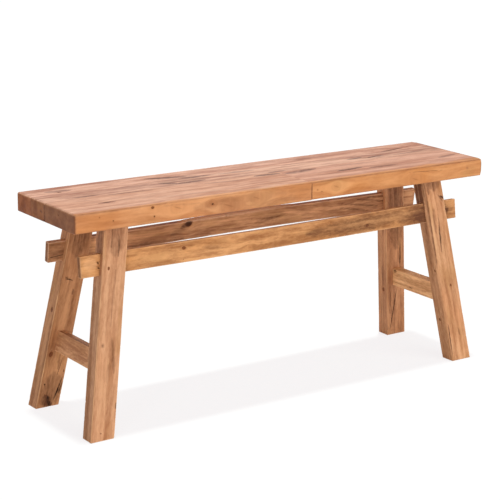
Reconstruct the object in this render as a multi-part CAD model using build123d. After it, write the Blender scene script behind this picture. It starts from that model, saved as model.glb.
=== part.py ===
"""A backless rustic bench: a plank seat on four splayed legs, tied by stretchers and end rails.

X runs along the bench, -Y is its front and Z is up. The origin is on the floor, under the
middle of the seat. All sizes are in millimetres.
"""
import os
from build123d import *

# Seat, glued up from boards
seat_length = 1014.0
seat_depth = 233.0
seat_thickness = 37.6
seat_height = 450.0
rear_board_width = 56.5
middle_board_width = 56.0
front_left_board_length = 548.0
seat_corner_radius = 2.6
seat_top_bevel = 2.0
seat_bottom_bevel = 1.2

# Dowels that hold the seat's boards together
dowel_diameter = 8.0
dowel_length = 40.0
dowel_clearance = 0.15
dowel_end_gap = 1.0
front_seam_dowel_count = 5
rear_seam_dowel_count = front_seam_dowel_count - 1
butt_dowel_place_shares = (0.25, 0.68)

# Legs, rectangular bars that splay lengthwise and crosswise
leg_width = 52.0
leg_thickness = 32.5
leg_inset_from_end = 112.7
leg_inset_from_side = 54.75
leg_splay_length = 66.2
leg_splay_depth = 51.75
leg_wear_radius = 1.5
leg_tenon_width = 34.0
leg_tenon_thickness = 18.0
leg_tenon_depth = 24.0

# Stretchers on edge, pushed through the legs
stretcher_height = 42.4
stretcher_thickness = 12.0
front_stretcher_stub = 39.8
rear_stretcher_stub = 37.5
stretcher_wear_bevel = 1.2
front_stretcher_drop = 77.5
rear_stretcher_drop = 79.7
front_stretcher_shift = -2.5
rear_stretcher_shift = 2.3
front_stretcher_top_crook = -2.0
front_stretcher_bottom_crook = -1.0
rear_stretcher_top_crook = 2.8
rear_stretcher_bottom_crook = 4.8

# End rails between the front and the rear leg of each end
rail_height = 42.5
rail_thickness = 18.0
left_rail_level = 142.6
right_rail_level = 148.6
rail_wear_bevel = 1.2
rail_tenon_thickness = 9.0
rail_tenon_shoulder = 5.0
rail_tenon_depth = 20.0

# How loosely a tenon sits in its mortise, and how far cutting tools run past a face
joint_clearance = 0.15
tenon_end_gap = 1.0
overrun = 20.0

# Sizes that follow from those above
seat_underside = seat_height - seat_thickness
front_stretcher_level = seat_underside - front_stretcher_drop
rear_stretcher_level = seat_underside - rear_stretcher_drop
front_board_width = seat_depth - rear_board_width - middle_board_width
front_seam_y = front_board_width - seat_depth / 2
rear_seam_y = front_seam_y + middle_board_width
butt_joint_x = front_left_board_length - seat_length / 2
leg_top_x = seat_length / 2 - leg_inset_from_end
leg_top_y = seat_depth / 2 - leg_inset_from_side
leg_foot_x = leg_top_x + leg_splay_length
leg_foot_y = leg_top_y + leg_splay_depth

ENDS = {"left": -1, "right": 1}
SIDES = {"front": -1, "rear": 1}
RAIL_LEVELS = {ENDS["left"]: left_rail_level, ENDS["right"]: right_rail_level}


def leg_middle(end, side, level):
    """The point on a leg's middle line at a height above the floor."""
    top = Vector(end * leg_top_x, side * leg_top_y, seat_underside)
    foot = Vector(end * leg_foot_x, side * leg_foot_y, 0)
    return foot + (top - foot) * (level / seat_underside)


def leg_direction(end, side):
    """The unit vector up a leg."""
    return (leg_middle(end, side, seat_underside) - leg_middle(end, side, 0)).normalized()


def leg_plane(end, side):
    """A leg's own axes: Z up its middle line, X across its front face, origin at the foot."""
    up = leg_direction(end, side)
    front_normal = up.cross(Axis.X.direction).normalized()
    return Plane(leg_middle(end, side, 0), x_dir=front_normal.cross(up), z_dir=up)


def layer(bottom, top):
    """A slab wider than the bench, between two heights."""
    spread = Box(
        seat_length + leg_splay_length + overrun,
        seat_depth + leg_splay_depth * 2 + overrun,
        top - bottom,
        align=(Align.CENTER, Align.CENTER, Align.MIN),
    )
    return Pos(0, 0, bottom) * spread


def leg_stock(end, side, width, thickness):
    """A straight bar on a leg's middle line that runs past the floor and the seat."""
    bar = Box(width, thickness, seat_height * 2)
    return leg_plane(end, side) * bar


def leg_tenon(end, side, clearance, end_gap):
    """The blind tenon on a leg's top. Its end is level, and it leans as the leg does."""
    bar = leg_stock(end, side, leg_tenon_width + clearance * 2, leg_tenon_thickness + clearance * 2)
    return bar & layer(seat_underside, seat_underside + leg_tenon_depth + end_gap)


def stretcher_plane(side):
    """A stretcher's own axes: X along the bench, Z up its height, which leans as the legs do."""
    level = front_stretcher_level if side < 0 else rear_stretcher_level
    shift = front_stretcher_shift if side < 0 else rear_stretcher_shift
    middle = leg_middle(ENDS["right"], side, level)
    up = leg_direction(ENDS["right"], side)
    lean = Vector(0, up.Y, up.Z).normalized()
    return Plane((shift, middle.Y, middle.Z), x_dir=Axis.X.direction, z_dir=lean)


def stretcher_length(side):
    """From stub end to stub end: past both legs' outer faces by the stub."""
    level = front_stretcher_level if side < 0 else rear_stretcher_level
    stub = front_stretcher_stub if side < 0 else rear_stretcher_stub
    return leg_middle(ENDS["right"], side, level).X * 2 + leg_width + stub * 2


def stretcher(side):
    """A thin board on edge. Between the legs its edges bow by their crooks."""
    length = stretcher_length(side)
    stub = front_stretcher_stub if side < 0 else rear_stretcher_stub
    half_span = length / 2 - stub - leg_width - overrun
    top, bottom = stretcher_height / 2, -stretcher_height / 2
    top_crook = front_stretcher_top_crook if side < 0 else rear_stretcher_top_crook
    bottom_crook = front_stretcher_bottom_crook if side < 0 else rear_stretcher_bottom_crook
    outline = Curve() + [
        Line((-length / 2, bottom), (-half_span, bottom)),
        ThreePointArc((-half_span, bottom), (0, bottom + bottom_crook), (half_span, bottom)),
        Line((half_span, bottom), (length / 2, bottom)),
        Line((length / 2, bottom), (length / 2, top)),
        Line((length / 2, top), (half_span, top)),
        ThreePointArc((half_span, top), (0, top + top_crook), (-half_span, top)),
        Line((-half_span, top), (-length / 2, top)),
        Line((-length / 2, top), (-length / 2, bottom)),
    ]
    upright = Plane.XZ * make_face(outline)
    board = extrude(upright, stretcher_thickness / 2, both=True)
    ends = board.faces().filter_by(Axis.X)
    board = chamfer(ends.edges(), stretcher_wear_bevel)
    return stretcher_plane(side) * board


def stretcher_mortise(side):
    """The through mortise of one stretcher, as one cutter for the legs of both ends."""
    cutter = Box(
        stretcher_length(side) + overrun,
        stretcher_thickness + joint_clearance * 2,
        stretcher_height + joint_clearance * 2,
    )
    return stretcher_plane(side) * cutter


def rail_plane(end):
    """An end rail's own axes: Y along it, Z up its height, which leans as the legs do."""
    middle = leg_middle(end, SIDES["rear"], RAIL_LEVELS[end])
    up = leg_direction(end, SIDES["rear"])
    lean = Vector(up.X, 0, up.Z).normalized()
    return Plane((middle.X, 0, middle.Z), x_dir=Axis.Y.direction.cross(lean), z_dir=lean)


def rail_tenons(end, clearance, end_gap):
    """The bar that ends as a stub tenon in each leg."""
    up = leg_direction(end, SIDES["rear"])
    lean = Vector(0, up.Y, up.Z).normalized()
    inner_face_y = leg_middle(end, SIDES["rear"], RAIL_LEVELS[end]).Y - leg_thickness / 2 / lean.Z
    bar = Box(
        rail_tenon_thickness + clearance * 2,
        (inner_face_y + rail_tenon_depth + end_gap) * 2,
        rail_height - rail_tenon_shoulder * 2 + clearance * 2,
    )
    return rail_plane(end) * bar


def end_rail(end):
    """A rail whose shoulders are cut to the legs' slanting inner faces, with stub tenons."""
    bar = Box(rail_thickness, leg_foot_y * 2, rail_height)
    bar = chamfer(bar.edges().filter_by(Axis.Y), rail_wear_bevel)
    body = rail_plane(end) * bar
    outside = Box(overrun * 2 + rail_thickness, leg_foot_y, rail_height + overrun * 2)
    for side in SIDES.values():
        inner_face = leg_plane(end, side)
        inner_face.origin = leg_middle(end, side, RAIL_LEVELS[end])
        reach = side * (leg_foot_y / 2 - leg_thickness / 2)
        body -= inner_face * Pos(0, reach, 0) * outside
    return body + rail_tenons(end, 0, 0)


def leg(end, side):
    """A leg: a level foot, a level shoulder under the seat, its tenon and its mortises."""
    bar = leg_stock(end, side, leg_width, leg_thickness)
    bar = fillet(bar.edges().filter_by(lambda edge: edge.length > seat_height), leg_wear_radius)
    body = (bar & layer(0, seat_underside)) + leg_tenon(end, side, 0, 0)
    return body - stretcher_mortise(side) - rail_tenons(end, joint_clearance, tenon_end_gap)


def seat_block():
    """The whole seat before it is divided into boards."""
    block = Box(seat_length, seat_depth, seat_thickness, align=(Align.CENTER, Align.CENTER, Align.MAX))
    block = fillet(block.edges().filter_by(Axis.Z), seat_corner_radius)
    top_edges = block.faces().sort_by(Axis.Z)[-1].edges()
    block = chamfer(top_edges, seat_top_bevel)
    bottom_edges = block.faces().sort_by(Axis.Z)[0].edges()
    block = chamfer(bottom_edges, seat_bottom_bevel)
    return Pos(0, 0, seat_height) * block


def region(x_low, x_high, y_low, y_high):
    """A block that covers the seat's thickness between two places along it and across it."""
    size = Box(
        x_high - x_low,
        y_high - y_low,
        seat_thickness + overrun * 2,
        align=(Align.MIN, Align.MIN, Align.MAX),
    )
    return Pos(x_low, y_low, seat_height + overrun) * size


def dowels(places, direction, clearance, end_gap):
    """One dowel at each place in the middle of the seat's thickness, as separate solids."""
    pin = Cylinder(dowel_diameter / 2 + clearance, dowel_length + end_gap * 2)
    level = seat_height - seat_thickness / 2
    return [Plane((x, y, level), z_dir=direction) * pin for x, y in places]


def seam_places(count, seam_y):
    """Places along a long seam, evenly between the legs' tenons."""
    pitch = leg_top_x * 2 / (front_seam_dowel_count + 1)
    return [((index - (count - 1) / 2) * pitch, seam_y) for index in range(count)]


def butt_places():
    """Places across the butt joint of the two front boards."""
    front_edge_y = -seat_depth / 2
    return [(butt_joint_x, front_edge_y + share * front_board_width) for share in butt_dowel_place_shares]


def dowel_groups(clearance, end_gap):
    """Every group of dowels by name, or with a clearance the holes that they sit in."""
    front_places = seam_places(front_seam_dowel_count, front_seam_y)
    rear_places = seam_places(rear_seam_dowel_count, rear_seam_y)
    return {
        "seam_dowels_front": dowels(front_places, Axis.Y.direction, clearance, end_gap),
        "seam_dowels_rear": dowels(rear_places, Axis.Y.direction, clearance, end_gap),
        "butt_dowels": dowels(butt_places(), Axis.X.direction, clearance, end_gap),
    }


def seat_boards():
    """The four boards, with mortises for the legs' tenons and holes for the dowels."""
    block = seat_block()
    for end in ENDS.values():
        for side in SIDES.values():
            block -= leg_tenon(end, side, joint_clearance, tenon_end_gap)
    for holes in dowel_groups(dowel_clearance, dowel_end_gap).values():
        block -= holes
    far_x = seat_length / 2 + overrun
    far_y = seat_depth / 2 + overrun
    regions = {
        "seat_board_rear": region(-far_x, far_x, rear_seam_y, far_y),
        "seat_board_middle": region(-far_x, far_x, front_seam_y, rear_seam_y),
        "seat_board_front_left": region(-far_x, butt_joint_x, -far_y, front_seam_y),
        "seat_board_front_right": region(butt_joint_x, far_x, -far_y, front_seam_y),
    }
    return {name: block & part for name, part in regions.items()}


def bench():
    """Every piece of the bench by name."""
    pieces = seat_boards()
    for side_name, side in SIDES.items():
        for end_name, end in ENDS.items():
            pieces[f"leg_{side_name}_{end_name}"] = leg(end, side)
        pieces[f"stretcher_{side_name}"] = stretcher(side)
    for end_name, end in ENDS.items():
        pieces[f"end_rail_{end_name}"] = end_rail(end)
    for name, pins in dowel_groups(0, 0).items():
        pieces[name] = Compound(children=pins)
    return pieces


os.makedirs("parts", exist_ok=True)
for node, shape in bench().items():
    export_step(shape, f"parts/{node}.step")
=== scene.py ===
"""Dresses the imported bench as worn, waxed, reclaimed timber.

Every timber is shaped in millimetres along its own axes: u along the grain, v across it and w through it.
Its setting then carries it into the bench's frame, which is in metres.
"""

import logging
import math
from dataclasses import dataclass, field, replace
from enum import Enum
from itertools import product

import bmesh
import bpy
import numpy as np
from mathutils import Matrix, Vector

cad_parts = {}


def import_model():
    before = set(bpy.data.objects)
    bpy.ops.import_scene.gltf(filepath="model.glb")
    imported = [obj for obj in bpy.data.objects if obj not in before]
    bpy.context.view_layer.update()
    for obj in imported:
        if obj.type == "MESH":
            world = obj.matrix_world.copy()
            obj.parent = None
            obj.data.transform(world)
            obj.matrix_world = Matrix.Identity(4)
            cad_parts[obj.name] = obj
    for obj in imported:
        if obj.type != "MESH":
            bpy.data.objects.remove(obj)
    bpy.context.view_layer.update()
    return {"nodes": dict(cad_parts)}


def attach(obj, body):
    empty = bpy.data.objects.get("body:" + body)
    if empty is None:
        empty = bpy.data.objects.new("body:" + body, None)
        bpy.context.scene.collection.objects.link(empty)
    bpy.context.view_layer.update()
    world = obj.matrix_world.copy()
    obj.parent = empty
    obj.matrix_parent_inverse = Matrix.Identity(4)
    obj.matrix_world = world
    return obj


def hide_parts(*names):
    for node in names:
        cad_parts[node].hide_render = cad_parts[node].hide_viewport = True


MM = 0.001
LOG = logging.getLogger("bench")

Pair = tuple[float, float]
Triple = tuple[float, float, float]
Colour = tuple[float, float, float, float]
Socket = bpy.types.NodeSocket


class Side(Enum):
    """A side of a timber: the axis that it faces along, and which way."""

    LOW_END = (0, -1)
    HIGH_END = (0, 1)
    LOW_EDGE = (1, -1)
    HIGH_EDGE = (1, 1)
    LOW_FACE = (2, -1)
    HIGH_FACE = (2, 1)

    @property
    def lying(self) -> list[int]:
        """The two axes that lie in the side."""
        return [axis for axis in range(3) if axis != self.value[0]]


class Mark(Enum):
    """What time, nails and the saw leave in a timber, and the shade and highlights painted on it."""

    KNOT = "knot"
    HOLE = "hole"
    CRACK = "crack"
    STAIN = "stain"
    TEAR = "tear"
    RUB = "rub"
    HUMP = "hump"


Rows = dict[Side, dict[Mark, list[tuple[float, ...]]]]


@dataclass(frozen=True)
class Blemish:
    """One mark on one side of a timber, in the timber's own millimetres.

    start and end hold the place along the grain and across it, or across and through on an end.
    """

    kind: Mark
    side: Side
    start: Pair
    end: Pair | None = None
    width: float = 2.0
    depth: float = 1.0
    strength: float = 1.0


def marked(table: Rows) -> list[Blemish]:
    """Turns the rows of a timber's table of marks into marks.

    Args:
        table: for each side and kind of mark its rows. A row holds a place, the other end of a long mark, a
            width, a depth unless the mark only colours the wood, and a strength if it isn't 1.

    Returns:
        The marks.
    """
    made = []
    for side, kinds in table.items():
        for kind, rows in kinds.items():
            for row in rows:
                start, end, rest = row[:2], None, row[2:]
                if kind not in (Mark.KNOT, Mark.HOLE):
                    end, rest = rest[:2], rest[2:]
                if kind in (Mark.STAIN, Mark.RUB):
                    rest = (rest[0], 0.0, rest[1])
                made.append(Blemish(kind, side, start, end, *rest))
    return made


@dataclass(frozen=True)
class Arris:
    """How an edge between two sides is broken: its size, how much that varies, and if it is a flat bevel.

    rub is how much paler it is, where the finish has rubbed off and a highlight is painted along it, and soil
    how much darker, with dirt and painted shade. ratio is its reach on the second side over its reach on the
    first. knock is how much bigger it is at its low and at its high corner, and fading how far along it that
    goes.
    """

    size: float = 1.1
    wear: float = 1.1
    nick: float = 1.3
    flat: bool = False
    rub: float = 1.0
    soil_and_shade: float = 0.0
    ratio: float = 1.0
    knock: Pair = (0.0, 0.0)
    fading: float = 12.0


def srgb(shown: Triple) -> Colour:
    """Turns a colour as a screen shows it, 10 to 255, into the linear colour that a shader takes."""
    red, green, blue = (((value / 255 + 0.055) / 1.055) ** 2.4 for value in shown)
    return (red, green, blue, 1.0)


def smooth(values: np.ndarray) -> np.ndarray:
    """A soft step from 0 to 1."""
    held = np.clip(values, 0.0, 1.0)
    return held * held * (3.0 - 2.0 * held)


def near(distance: np.ndarray, reach: float | np.ndarray, full: float = 1.0) -> np.ndarray:
    """Close to 1 near by and 0 from some way off, with soft ends."""
    return smooth(full - distance / reach)


def uneven(values: np.ndarray, least: float = 0.65, rise: float = 0.7) -> np.ndarray:
    """Noise from 0 to 1 carried to another range."""
    return least + rise * values


@dataclass(frozen=True)
class Reading:
    """One reading of a timber's noise: its lattice along u, v and w, and a shift that sets it apart."""

    pitch: Triple
    shift: float = 0.0


SWELL = Reading((120.0, 34.0, 34.0), 37.0)
RIPPLE = Reading((26.0, 7.0, 7.0), -91.0)
WAX_LINE = Reading((46.0, 60.0, 60.0), 700.0)
ARRIS_WEAR = Reading((38.0, 1.0, 1.0))
ARRIS_NICKS = Reading((5.0, 1.0, 1.0), 500.0)
RAGGED = Reading((4.0, 2.2, 2.2), 211.0)
TORN = Reading((5.0, 1.6, 1.6), 60.0)


class Unevenness:
    """Smooth seeded noise from 0 to 1, for arrays of points."""

    TABLE = 4096
    PRIMES = (73856093, 19349663, 83492791)

    def __init__(self, seed: int) -> None:
        """Draws the table of lattice values for a seed."""
        self.values = np.random.default_rng(seed).random(self.TABLE)

    def at(self, points: np.ndarray, reading: Reading, way: int = 1) -> np.ndarray:
        """Reads the noise.

        Args:
            points: places in millimetres, one row each.
            reading: the lattice to read it on.
            way: 1, or -1 to shift it the other way.

        Returns:
            One value for each point.
        """
        place = (points + way * reading.shift) / np.array(reading.pitch)
        cell = np.floor(place).astype(np.int64)
        part = smooth(place - cell)
        total = np.zeros(len(points))
        for corner in product((0, 1), repeat=3):
            at = cell + np.array(corner)
            key = (at[:, 0] * self.PRIMES[0]) ^ (at[:, 1] * self.PRIMES[1]) ^ (at[:, 2] * self.PRIMES[2])
            weight = np.prod(np.where(np.array(corner) == 1, part, 1.0 - part), axis=1)
            total += self.values[key % self.TABLE] * weight
        return total


class Sheet:
    """Lays out the nodes of one material or world and joins them."""

    def __init__(self, owner: bpy.types.Material | bpy.types.World) -> None:
        """Clears the owner's nodes."""
        self.owner = owner
        owner.use_nodes = True
        self.tree = owner.node_tree
        self.tree.nodes.clear()

    def node(self, kind: str, inputs: dict | None = None, **settings: object) -> bpy.types.Node:
        """Adds a node.

        Args:
            kind: the node's type, without the ShaderNode in front.
            inputs: a value or an output socket for each named or numbered input.
            settings: the node's own properties.

        Returns:
            The node.
        """
        made = self.tree.nodes.new("ShaderNode" + kind)
        for key, value in settings.items():
            setattr(made, key, value)
        for key, value in (inputs or {}).items():
            if isinstance(value, bpy.types.NodeSocket):
                self.tree.links.new(value, made.inputs[key])
            else:
                made.inputs[key].default_value = value
        return made

    def layer(self, name: str) -> Socket:
        """The value of the piece's own attribute of a name."""
        return self.node("Attribute", attribute_name=name).outputs["Fac"]

    def reckon(self, operation: str, *values: object, clamp: bool = False) -> Socket:
        """A Math node's result."""
        return self.node("Math", dict(enumerate(values)), operation=operation, use_clamp=clamp).outputs[0]

    def times(self, first: object, *others: object, clamp: bool = False) -> Socket:
        """The product of two or more values."""
        rest = others[0] if len(others) == 1 else self.times(*others)
        return self.reckon("MULTIPLY", first, rest, clamp=clamp)

    def plus(self, first: object, other: object, clamp: bool = False) -> Socket:
        """Two values added."""
        return self.reckon("ADD", first, other, clamp=clamp)

    def minus(self, first: object, other: object) -> Socket:
        """One value less another."""
        return self.reckon("SUBTRACT", first, other)

    def vector(self, operation: str, first: object, other: object) -> Socket:
        """A Vector Math node's vector."""
        return self.node("VectorMath", {0: first, 1: other}, operation=operation).outputs[0]

    def noise(self, vector: Socket, scale: Triple, detail: float = 2.0, rough: float = 0.5) -> bpy.types.Node:
        """Noise on a vector that is first stretched by a number for each axis."""
        place = self.vector("MULTIPLY", vector, scale)
        return self.node("TexNoise", {"Vector": place, "Scale": 1.0, "Detail": detail, "Roughness": rough})

    def span(self, value: object, low: float, high: float, first: float = 0.0, last: float = 1.0) -> Socket:
        """A value carried from one range to another with soft ends."""
        inputs = {"Value": value, "From Min": low, "From Max": high, "To Min": first, "To Max": last}
        return self.node("MapRange", inputs, interpolation_type="SMOOTHSTEP").outputs[0]

    def mixed(self, share: object, first: object, second: object, blend: str = "MIX") -> Socket:
        """Two colours mixed by a share."""
        inputs = {0: share, 6: first, 7: second}
        return self.node("Mix", inputs, data_type="RGBA", blend_type=blend, clamp_factor=True).outputs[2]

    def ramp(self, value: Socket, stops: tuple[Pair, ...]) -> Socket:
        """A value read through a curve of straight runs, given as places and levels."""
        made = self.node("ValToRGB", {0: value})
        bar = made.color_ramp.elements
        while len(bar) < len(stops):
            bar.new(0.5)
        for element, (place, level) in zip(bar, stops):
            element.position = place
            element.color = (level, level, level, 1.0)
        return made.outputs[0]

    def finish(self, shader: Socket, output: str = "OutputMaterial") -> bpy.types.Material | bpy.types.World:
        """Joins the shader to the output and gives back the owner."""
        self.tree.links.new(shader, self.node(output).inputs[0])
        return self.owner


@dataclass(frozen=True)
class Scale:
    """One scale of the wood's pattern: its waves to the millimetre, and how finely they are broken."""

    along: float
    across: float
    detail: float = 2.0
    rough: float = 0.5


WOOD_SCALES = {
    "fray": Scale(0.012, 0.16, 3.0, 0.6),
    "fibre": Scale(0.02, 1.3, 3.0, 0.65),
    "cloud": Scale(0.008, 0.022, 3.0, 0.55),
    "fleck": Scale(0.07, 1.9, 1.0),
    "murk": Scale(0.011, 0.035),
    "patch": Scale(0.085, 0.26, 3.0, 0.6),
    "speck": Scale(0.16, 0.75),
    "dash": Scale(0.014, 0.10),
}
WANDERING_SCALES = {"band": Scale(0.0026, 0.05), "wave": Scale(0.02, 0.095)}
RING_STOPS = ((0.0, 0.15), (0.45, 0.2), (0.8, 0.62), (0.93, 1.0), (1.0, 0.15))
PORE = (74.0, 42.0, 24.0)
SPECK = (92.0, 50.0, 28.0)
KNOT_HALO = (150.0, 84.0, 42.0)
KNOT_PALE = (128.0, 72.0, 38.0)
KNOT_DARK = (84.0, 44.0, 24.0)
KNOT_RIM = (58.0, 30.0, 17.0)
DIRT = (44.0, 25.0, 16.0)
END_SHADE = (0.50, 0.42, 0.33, 1.0)


@dataclass(frozen=True)
class TimberFinish:
    """The look of one timber: its colours, and how it was sawn out of the tree.

    heart is where the tree's heart lies, across and through, and lean is how the rings run out along the
    timber. A strength is how much its pattern darkens the wood, from 0 to 1. worn holds the pale and the deep
    colour of the top where the finish has worn off, paler and pinker there with a painted sheen. stained is
    the colour of stains and painted shade, and rub the colour of rubbed wood and painted highlights.
    """

    name: str
    pale: Triple
    deep: Triple
    glow: Triple
    heart: Pair = (18.0, -55.0)
    lean: Pair = (0.03, 0.05)
    ring: float = 5.0
    ring_strength: float = 0.5
    streak_strength: float = 0.5
    band_strength: float = 0.3
    figure: float = 0.3
    mottle: float = 0.3
    dash: float = 0.0
    fine: float = 1.0
    streak_along: float = 0.0035
    streak_across: float = 0.13
    wander: float = 26.0
    base: float = 0.12
    stain_and_shade_colour: Triple = (88.0, 51.0, 32.0)
    shade: Triple = (176.0, 128.0, 80.0)
    worn: tuple[Triple, Triple] | None = None
    rub: Triple = (222.0, 172.0, 126.0)
    offset: Triple = (0.0, 0.0, 0.0)
    rough: float = 0.5

    def material(self) -> bpy.types.Material:
        """Builds the node material.

        Returns:
            A material that reads the piece's own attributes, so that the grain follows the timber.
        """
        sheet = Sheet(bpy.data.materials.new(self.name))
        own = sheet.node("Attribute", attribute_name="grain").outputs["Vector"]
        grain = sheet.vector("ADD", own, self.offset)
        path = self.path(sheet, grain)
        layers = {name: sheet.layer(name) for name in ("dirt", "stain", "knot", "rub", "end")}
        noise = self.noises(sheet, grain, path)
        sawn = sheet.minus(1.0, sheet.times(layers["end"], 0.8))
        quiet = sheet.minus(1.0, sheet.times(layers["end"], 0.6))
        # Where the finish has worn off the top, which is painted paler with a sheen.
        faded = sheet.layer("faded") if self.worn else None
        if self.worn:
            quiet = sheet.times(quiet, sheet.span(faded, 0.0, 1.0, 0.4, 1.0))
        pore = sheet.times(sheet.span(noise["fleck"], 0.63, 0.76), sawn)
        if self.worn:
            sawn = sheet.times(sawn, sheet.span(faded, 0.0, 1.0, 0.55, 1.0))
        ring = self.rings(sheet, path, noise["fray"])
        depth = self.depth(sheet, ring, noise, sawn, quiet, layers["end"])
        colour = self.wood(sheet, depth, noise, faded)
        colour = self.flecked(sheet, colour, noise, pore, quiet)
        colour = sheet.mixed(layers["end"], colour, END_SHADE, "MULTIPLY")
        colour = self.knots(sheet, colour, layers["knot"], noise["fray"])
        colour = self.soiled_and_painted_light(sheet, colour, noise, layers)
        rough = sheet.span(noise["streak"], 0.3, 0.7, self.rough - 0.05, self.rough + 0.09)
        rough = sheet.plus(rough, sheet.times(layers["dirt"], 0.35), clamp=True)
        height = sheet.minus(sheet.times(noise["fibre"], 0.7), sheet.times(pore, 0.8))
        height = sheet.minus(height, sheet.times(ring, 0.25))
        relief = sheet.node("Bump", {"Strength": 0.22, "Distance": 0.0004, "Height": height}).outputs[0]
        inputs = {"Base Color": colour, "Roughness": rough, "Normal": relief}
        inputs |= {"IOR": 1.45, "Specular IOR Level": 0.13}
        return sheet.finish(sheet.node("BsdfPrincipled", inputs).outputs[0])

    def path(self, sheet: Sheet, grain: Socket) -> Socket:
        """The grain's own path, which wanders a little along the timber."""
        drift = sheet.noise(grain, (0.0045, 0.018, 0.018)).outputs["Color"]
        moved = sheet.vector("SUBTRACT", drift, (0.5, 0.5, 0.5))
        return sheet.vector("ADD", grain, sheet.vector("MULTIPLY", moved, (0.0, self.wander, self.wander)))

    def noises(self, sheet: Sheet, grain: Socket, path: Socket) -> dict[str, Socket]:
        """Every scale of the wood's pattern, by its name."""
        scales = WOOD_SCALES | {"streak": Scale(self.streak_along, self.streak_across, 2.0 + self.fine)}
        made = {}
        for vector, table in ((grain, scales), (path, WANDERING_SCALES)):
            for name, at in table.items():
                waves = (at.along, at.across, at.across)
                made[name] = sheet.noise(vector, waves, at.detail, at.rough).outputs["Fac"]
        return made

    def rings(self, sheet: Sheet, path: Socket, fray: Socket) -> Socket:
        """The growth rings round the tree's heart, each darker towards its outer side."""
        rotation = (0.0, self.lean[1], self.lean[0])
        turned = sheet.node("Mapping", {"Vector": path, "Rotation": rotation}).outputs[0]
        away = sheet.vector("SUBTRACT", turned, (0.0, *self.heart))
        across = sheet.vector("MULTIPLY", away, (0.0, 1.0, 1.0))
        radius = sheet.node("VectorMath", {0: across}, operation="LENGTH").outputs["Value"]
        phase = sheet.plus(sheet.reckon("DIVIDE", radius, self.ring), sheet.times(fray, 1.1))
        return sheet.ramp(sheet.reckon("FRACT", phase), RING_STOPS)

    def depth(
        self, sheet: Sheet, ring: Socket, noise: dict[str, Socket], sawn: Socket, quiet: Socket, end: Socket
    ) -> Socket:
        """How dark the wood is.

        Args:
            sheet: the material's sheet.
            ring: the growth rings.
            noise: the scales of the pattern.
            sawn: how much of the fine pattern shows, which is less on an end.
            quiet: how much of the streaks shows, which is less on an end and where the finish has stayed.
            end: 1 on an end, and 0 elsewhere.

        Returns:
            0 for the pale colour up to 1 for the deep one.
        """
        deep = sheet.times(sheet.times(ring, sawn), self.ring_strength)
        streak = sheet.span(noise["streak"], 0.3, 0.72, -self.streak_strength * 0.5, self.streak_strength)
        deep = sheet.plus(deep, streak)
        fibre = sheet.span(noise["fibre"], 0.25, 0.75, -0.12 * self.fine, 0.12 * self.fine)
        deep = sheet.times(sheet.plus(deep, sheet.times(fibre, sawn)), quiet)
        band = sheet.span(noise["band"], 0.3, 0.7, -self.band_strength * 0.5, self.band_strength)
        deep = sheet.plus(deep, band)
        patch = sheet.span(noise["patch"], 0.32, 0.7, -self.mottle * 0.6, self.mottle)
        wave = sheet.span(noise["wave"], 0.3, 0.7, -self.figure * 0.6, self.figure)
        deep = sheet.plus(deep, sheet.times(sheet.plus(patch, wave), sawn))
        return sheet.plus(sheet.plus(deep, sheet.times(end, 0.3)), self.base, clamp=True)

    def wood(self, sheet: Sheet, depth: Socket, noise: dict[str, Socket], faded: Socket | None) -> Socket:
        """The wood's colour, warmer and duller in places, and paler on a worn top, with a painted sheen."""
        deep = srgb(self.deep)
        colour = sheet.mixed(depth, srgb(self.pale), deep)
        warmer = sheet.mixed(depth, srgb(self.glow), deep)
        colour = sheet.mixed(sheet.span(noise["cloud"], 0.42, 0.72, 0.0, 0.75), colour, warmer)
        duller = sheet.mixed(depth, srgb(self.shade), deep)
        colour = sheet.mixed(sheet.span(noise["murk"], 0.5, 0.72, 0.0, 0.55), colour, duller)
        if self.worn:
            colour = sheet.mixed(faded, colour, sheet.mixed(depth, srgb(self.worn[0]), srgb(self.worn[1])))
        return colour

    def flecked(
        self, sheet: Sheet, colour: Socket, noise: dict[str, Socket], pore: Socket, quiet: Socket
    ) -> Socket:
        """Adds short dark dashes, open pores and specks."""
        dash = sheet.times(sheet.span(noise["dash"], 0.56, 0.68), quiet, self.dash)
        colour = sheet.mixed(dash, colour, srgb(self.stain_and_shade_colour))
        colour = sheet.mixed(sheet.times(pore, quiet, 0.34 * self.fine), colour, srgb(PORE))
        speck = sheet.times(sheet.span(noise["speck"], 0.64, 0.74), quiet, 0.26 * self.fine)
        return sheet.mixed(speck, colour, srgb(SPECK))

    def knots(self, sheet: Sheet, colour: Socket, knot: Socket, fray: Socket) -> Socket:
        """Adds the knots: a halo, rings of their own inside, and a dark rim."""
        within = sheet.span(knot, 0.47, 0.53)
        rim = sheet.span(sheet.reckon("ABSOLUTE", sheet.minus(knot, 0.5)), 0.0, 0.055, 1.0, 0.0)
        curl = sheet.reckon("SINE", sheet.plus(sheet.times(knot, 62.0), sheet.times(fray, 5.0)))
        heartwood = sheet.mixed(sheet.span(curl, -0.6, 0.9), srgb(KNOT_PALE), srgb(KNOT_DARK))
        colour = sheet.mixed(sheet.span(knot, 0.12, 0.5, 0.0, 0.38), colour, srgb(KNOT_HALO))
        colour = sheet.mixed(sheet.times(within, 0.88), colour, heartwood)
        return sheet.mixed(sheet.times(rim, 0.75), colour, srgb(KNOT_RIM))

    def soiled_and_painted_light(
        self, sheet: Sheet, colour: Socket, noise: dict[str, Socket], layers: dict[str, Socket]
    ) -> Socket:
        """Adds stains and painted shade, rubbed places and painted highlights, and dirt, broken up by the
        pattern.
        """
        patch = sheet.span(noise["patch"], 0.3, 0.65, 0.8, 1.15)
        broken = sheet.times(sheet.span(noise["streak"], 0.3, 0.62, 0.7, 1.2), patch)
        # Stains and painted shade darken the wood.
        stain = sheet.times(layers["stain"], broken, clamp=True)
        colour = sheet.mixed(sheet.times(stain, 0.92), colour, srgb(self.stain_and_shade_colour))
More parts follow.
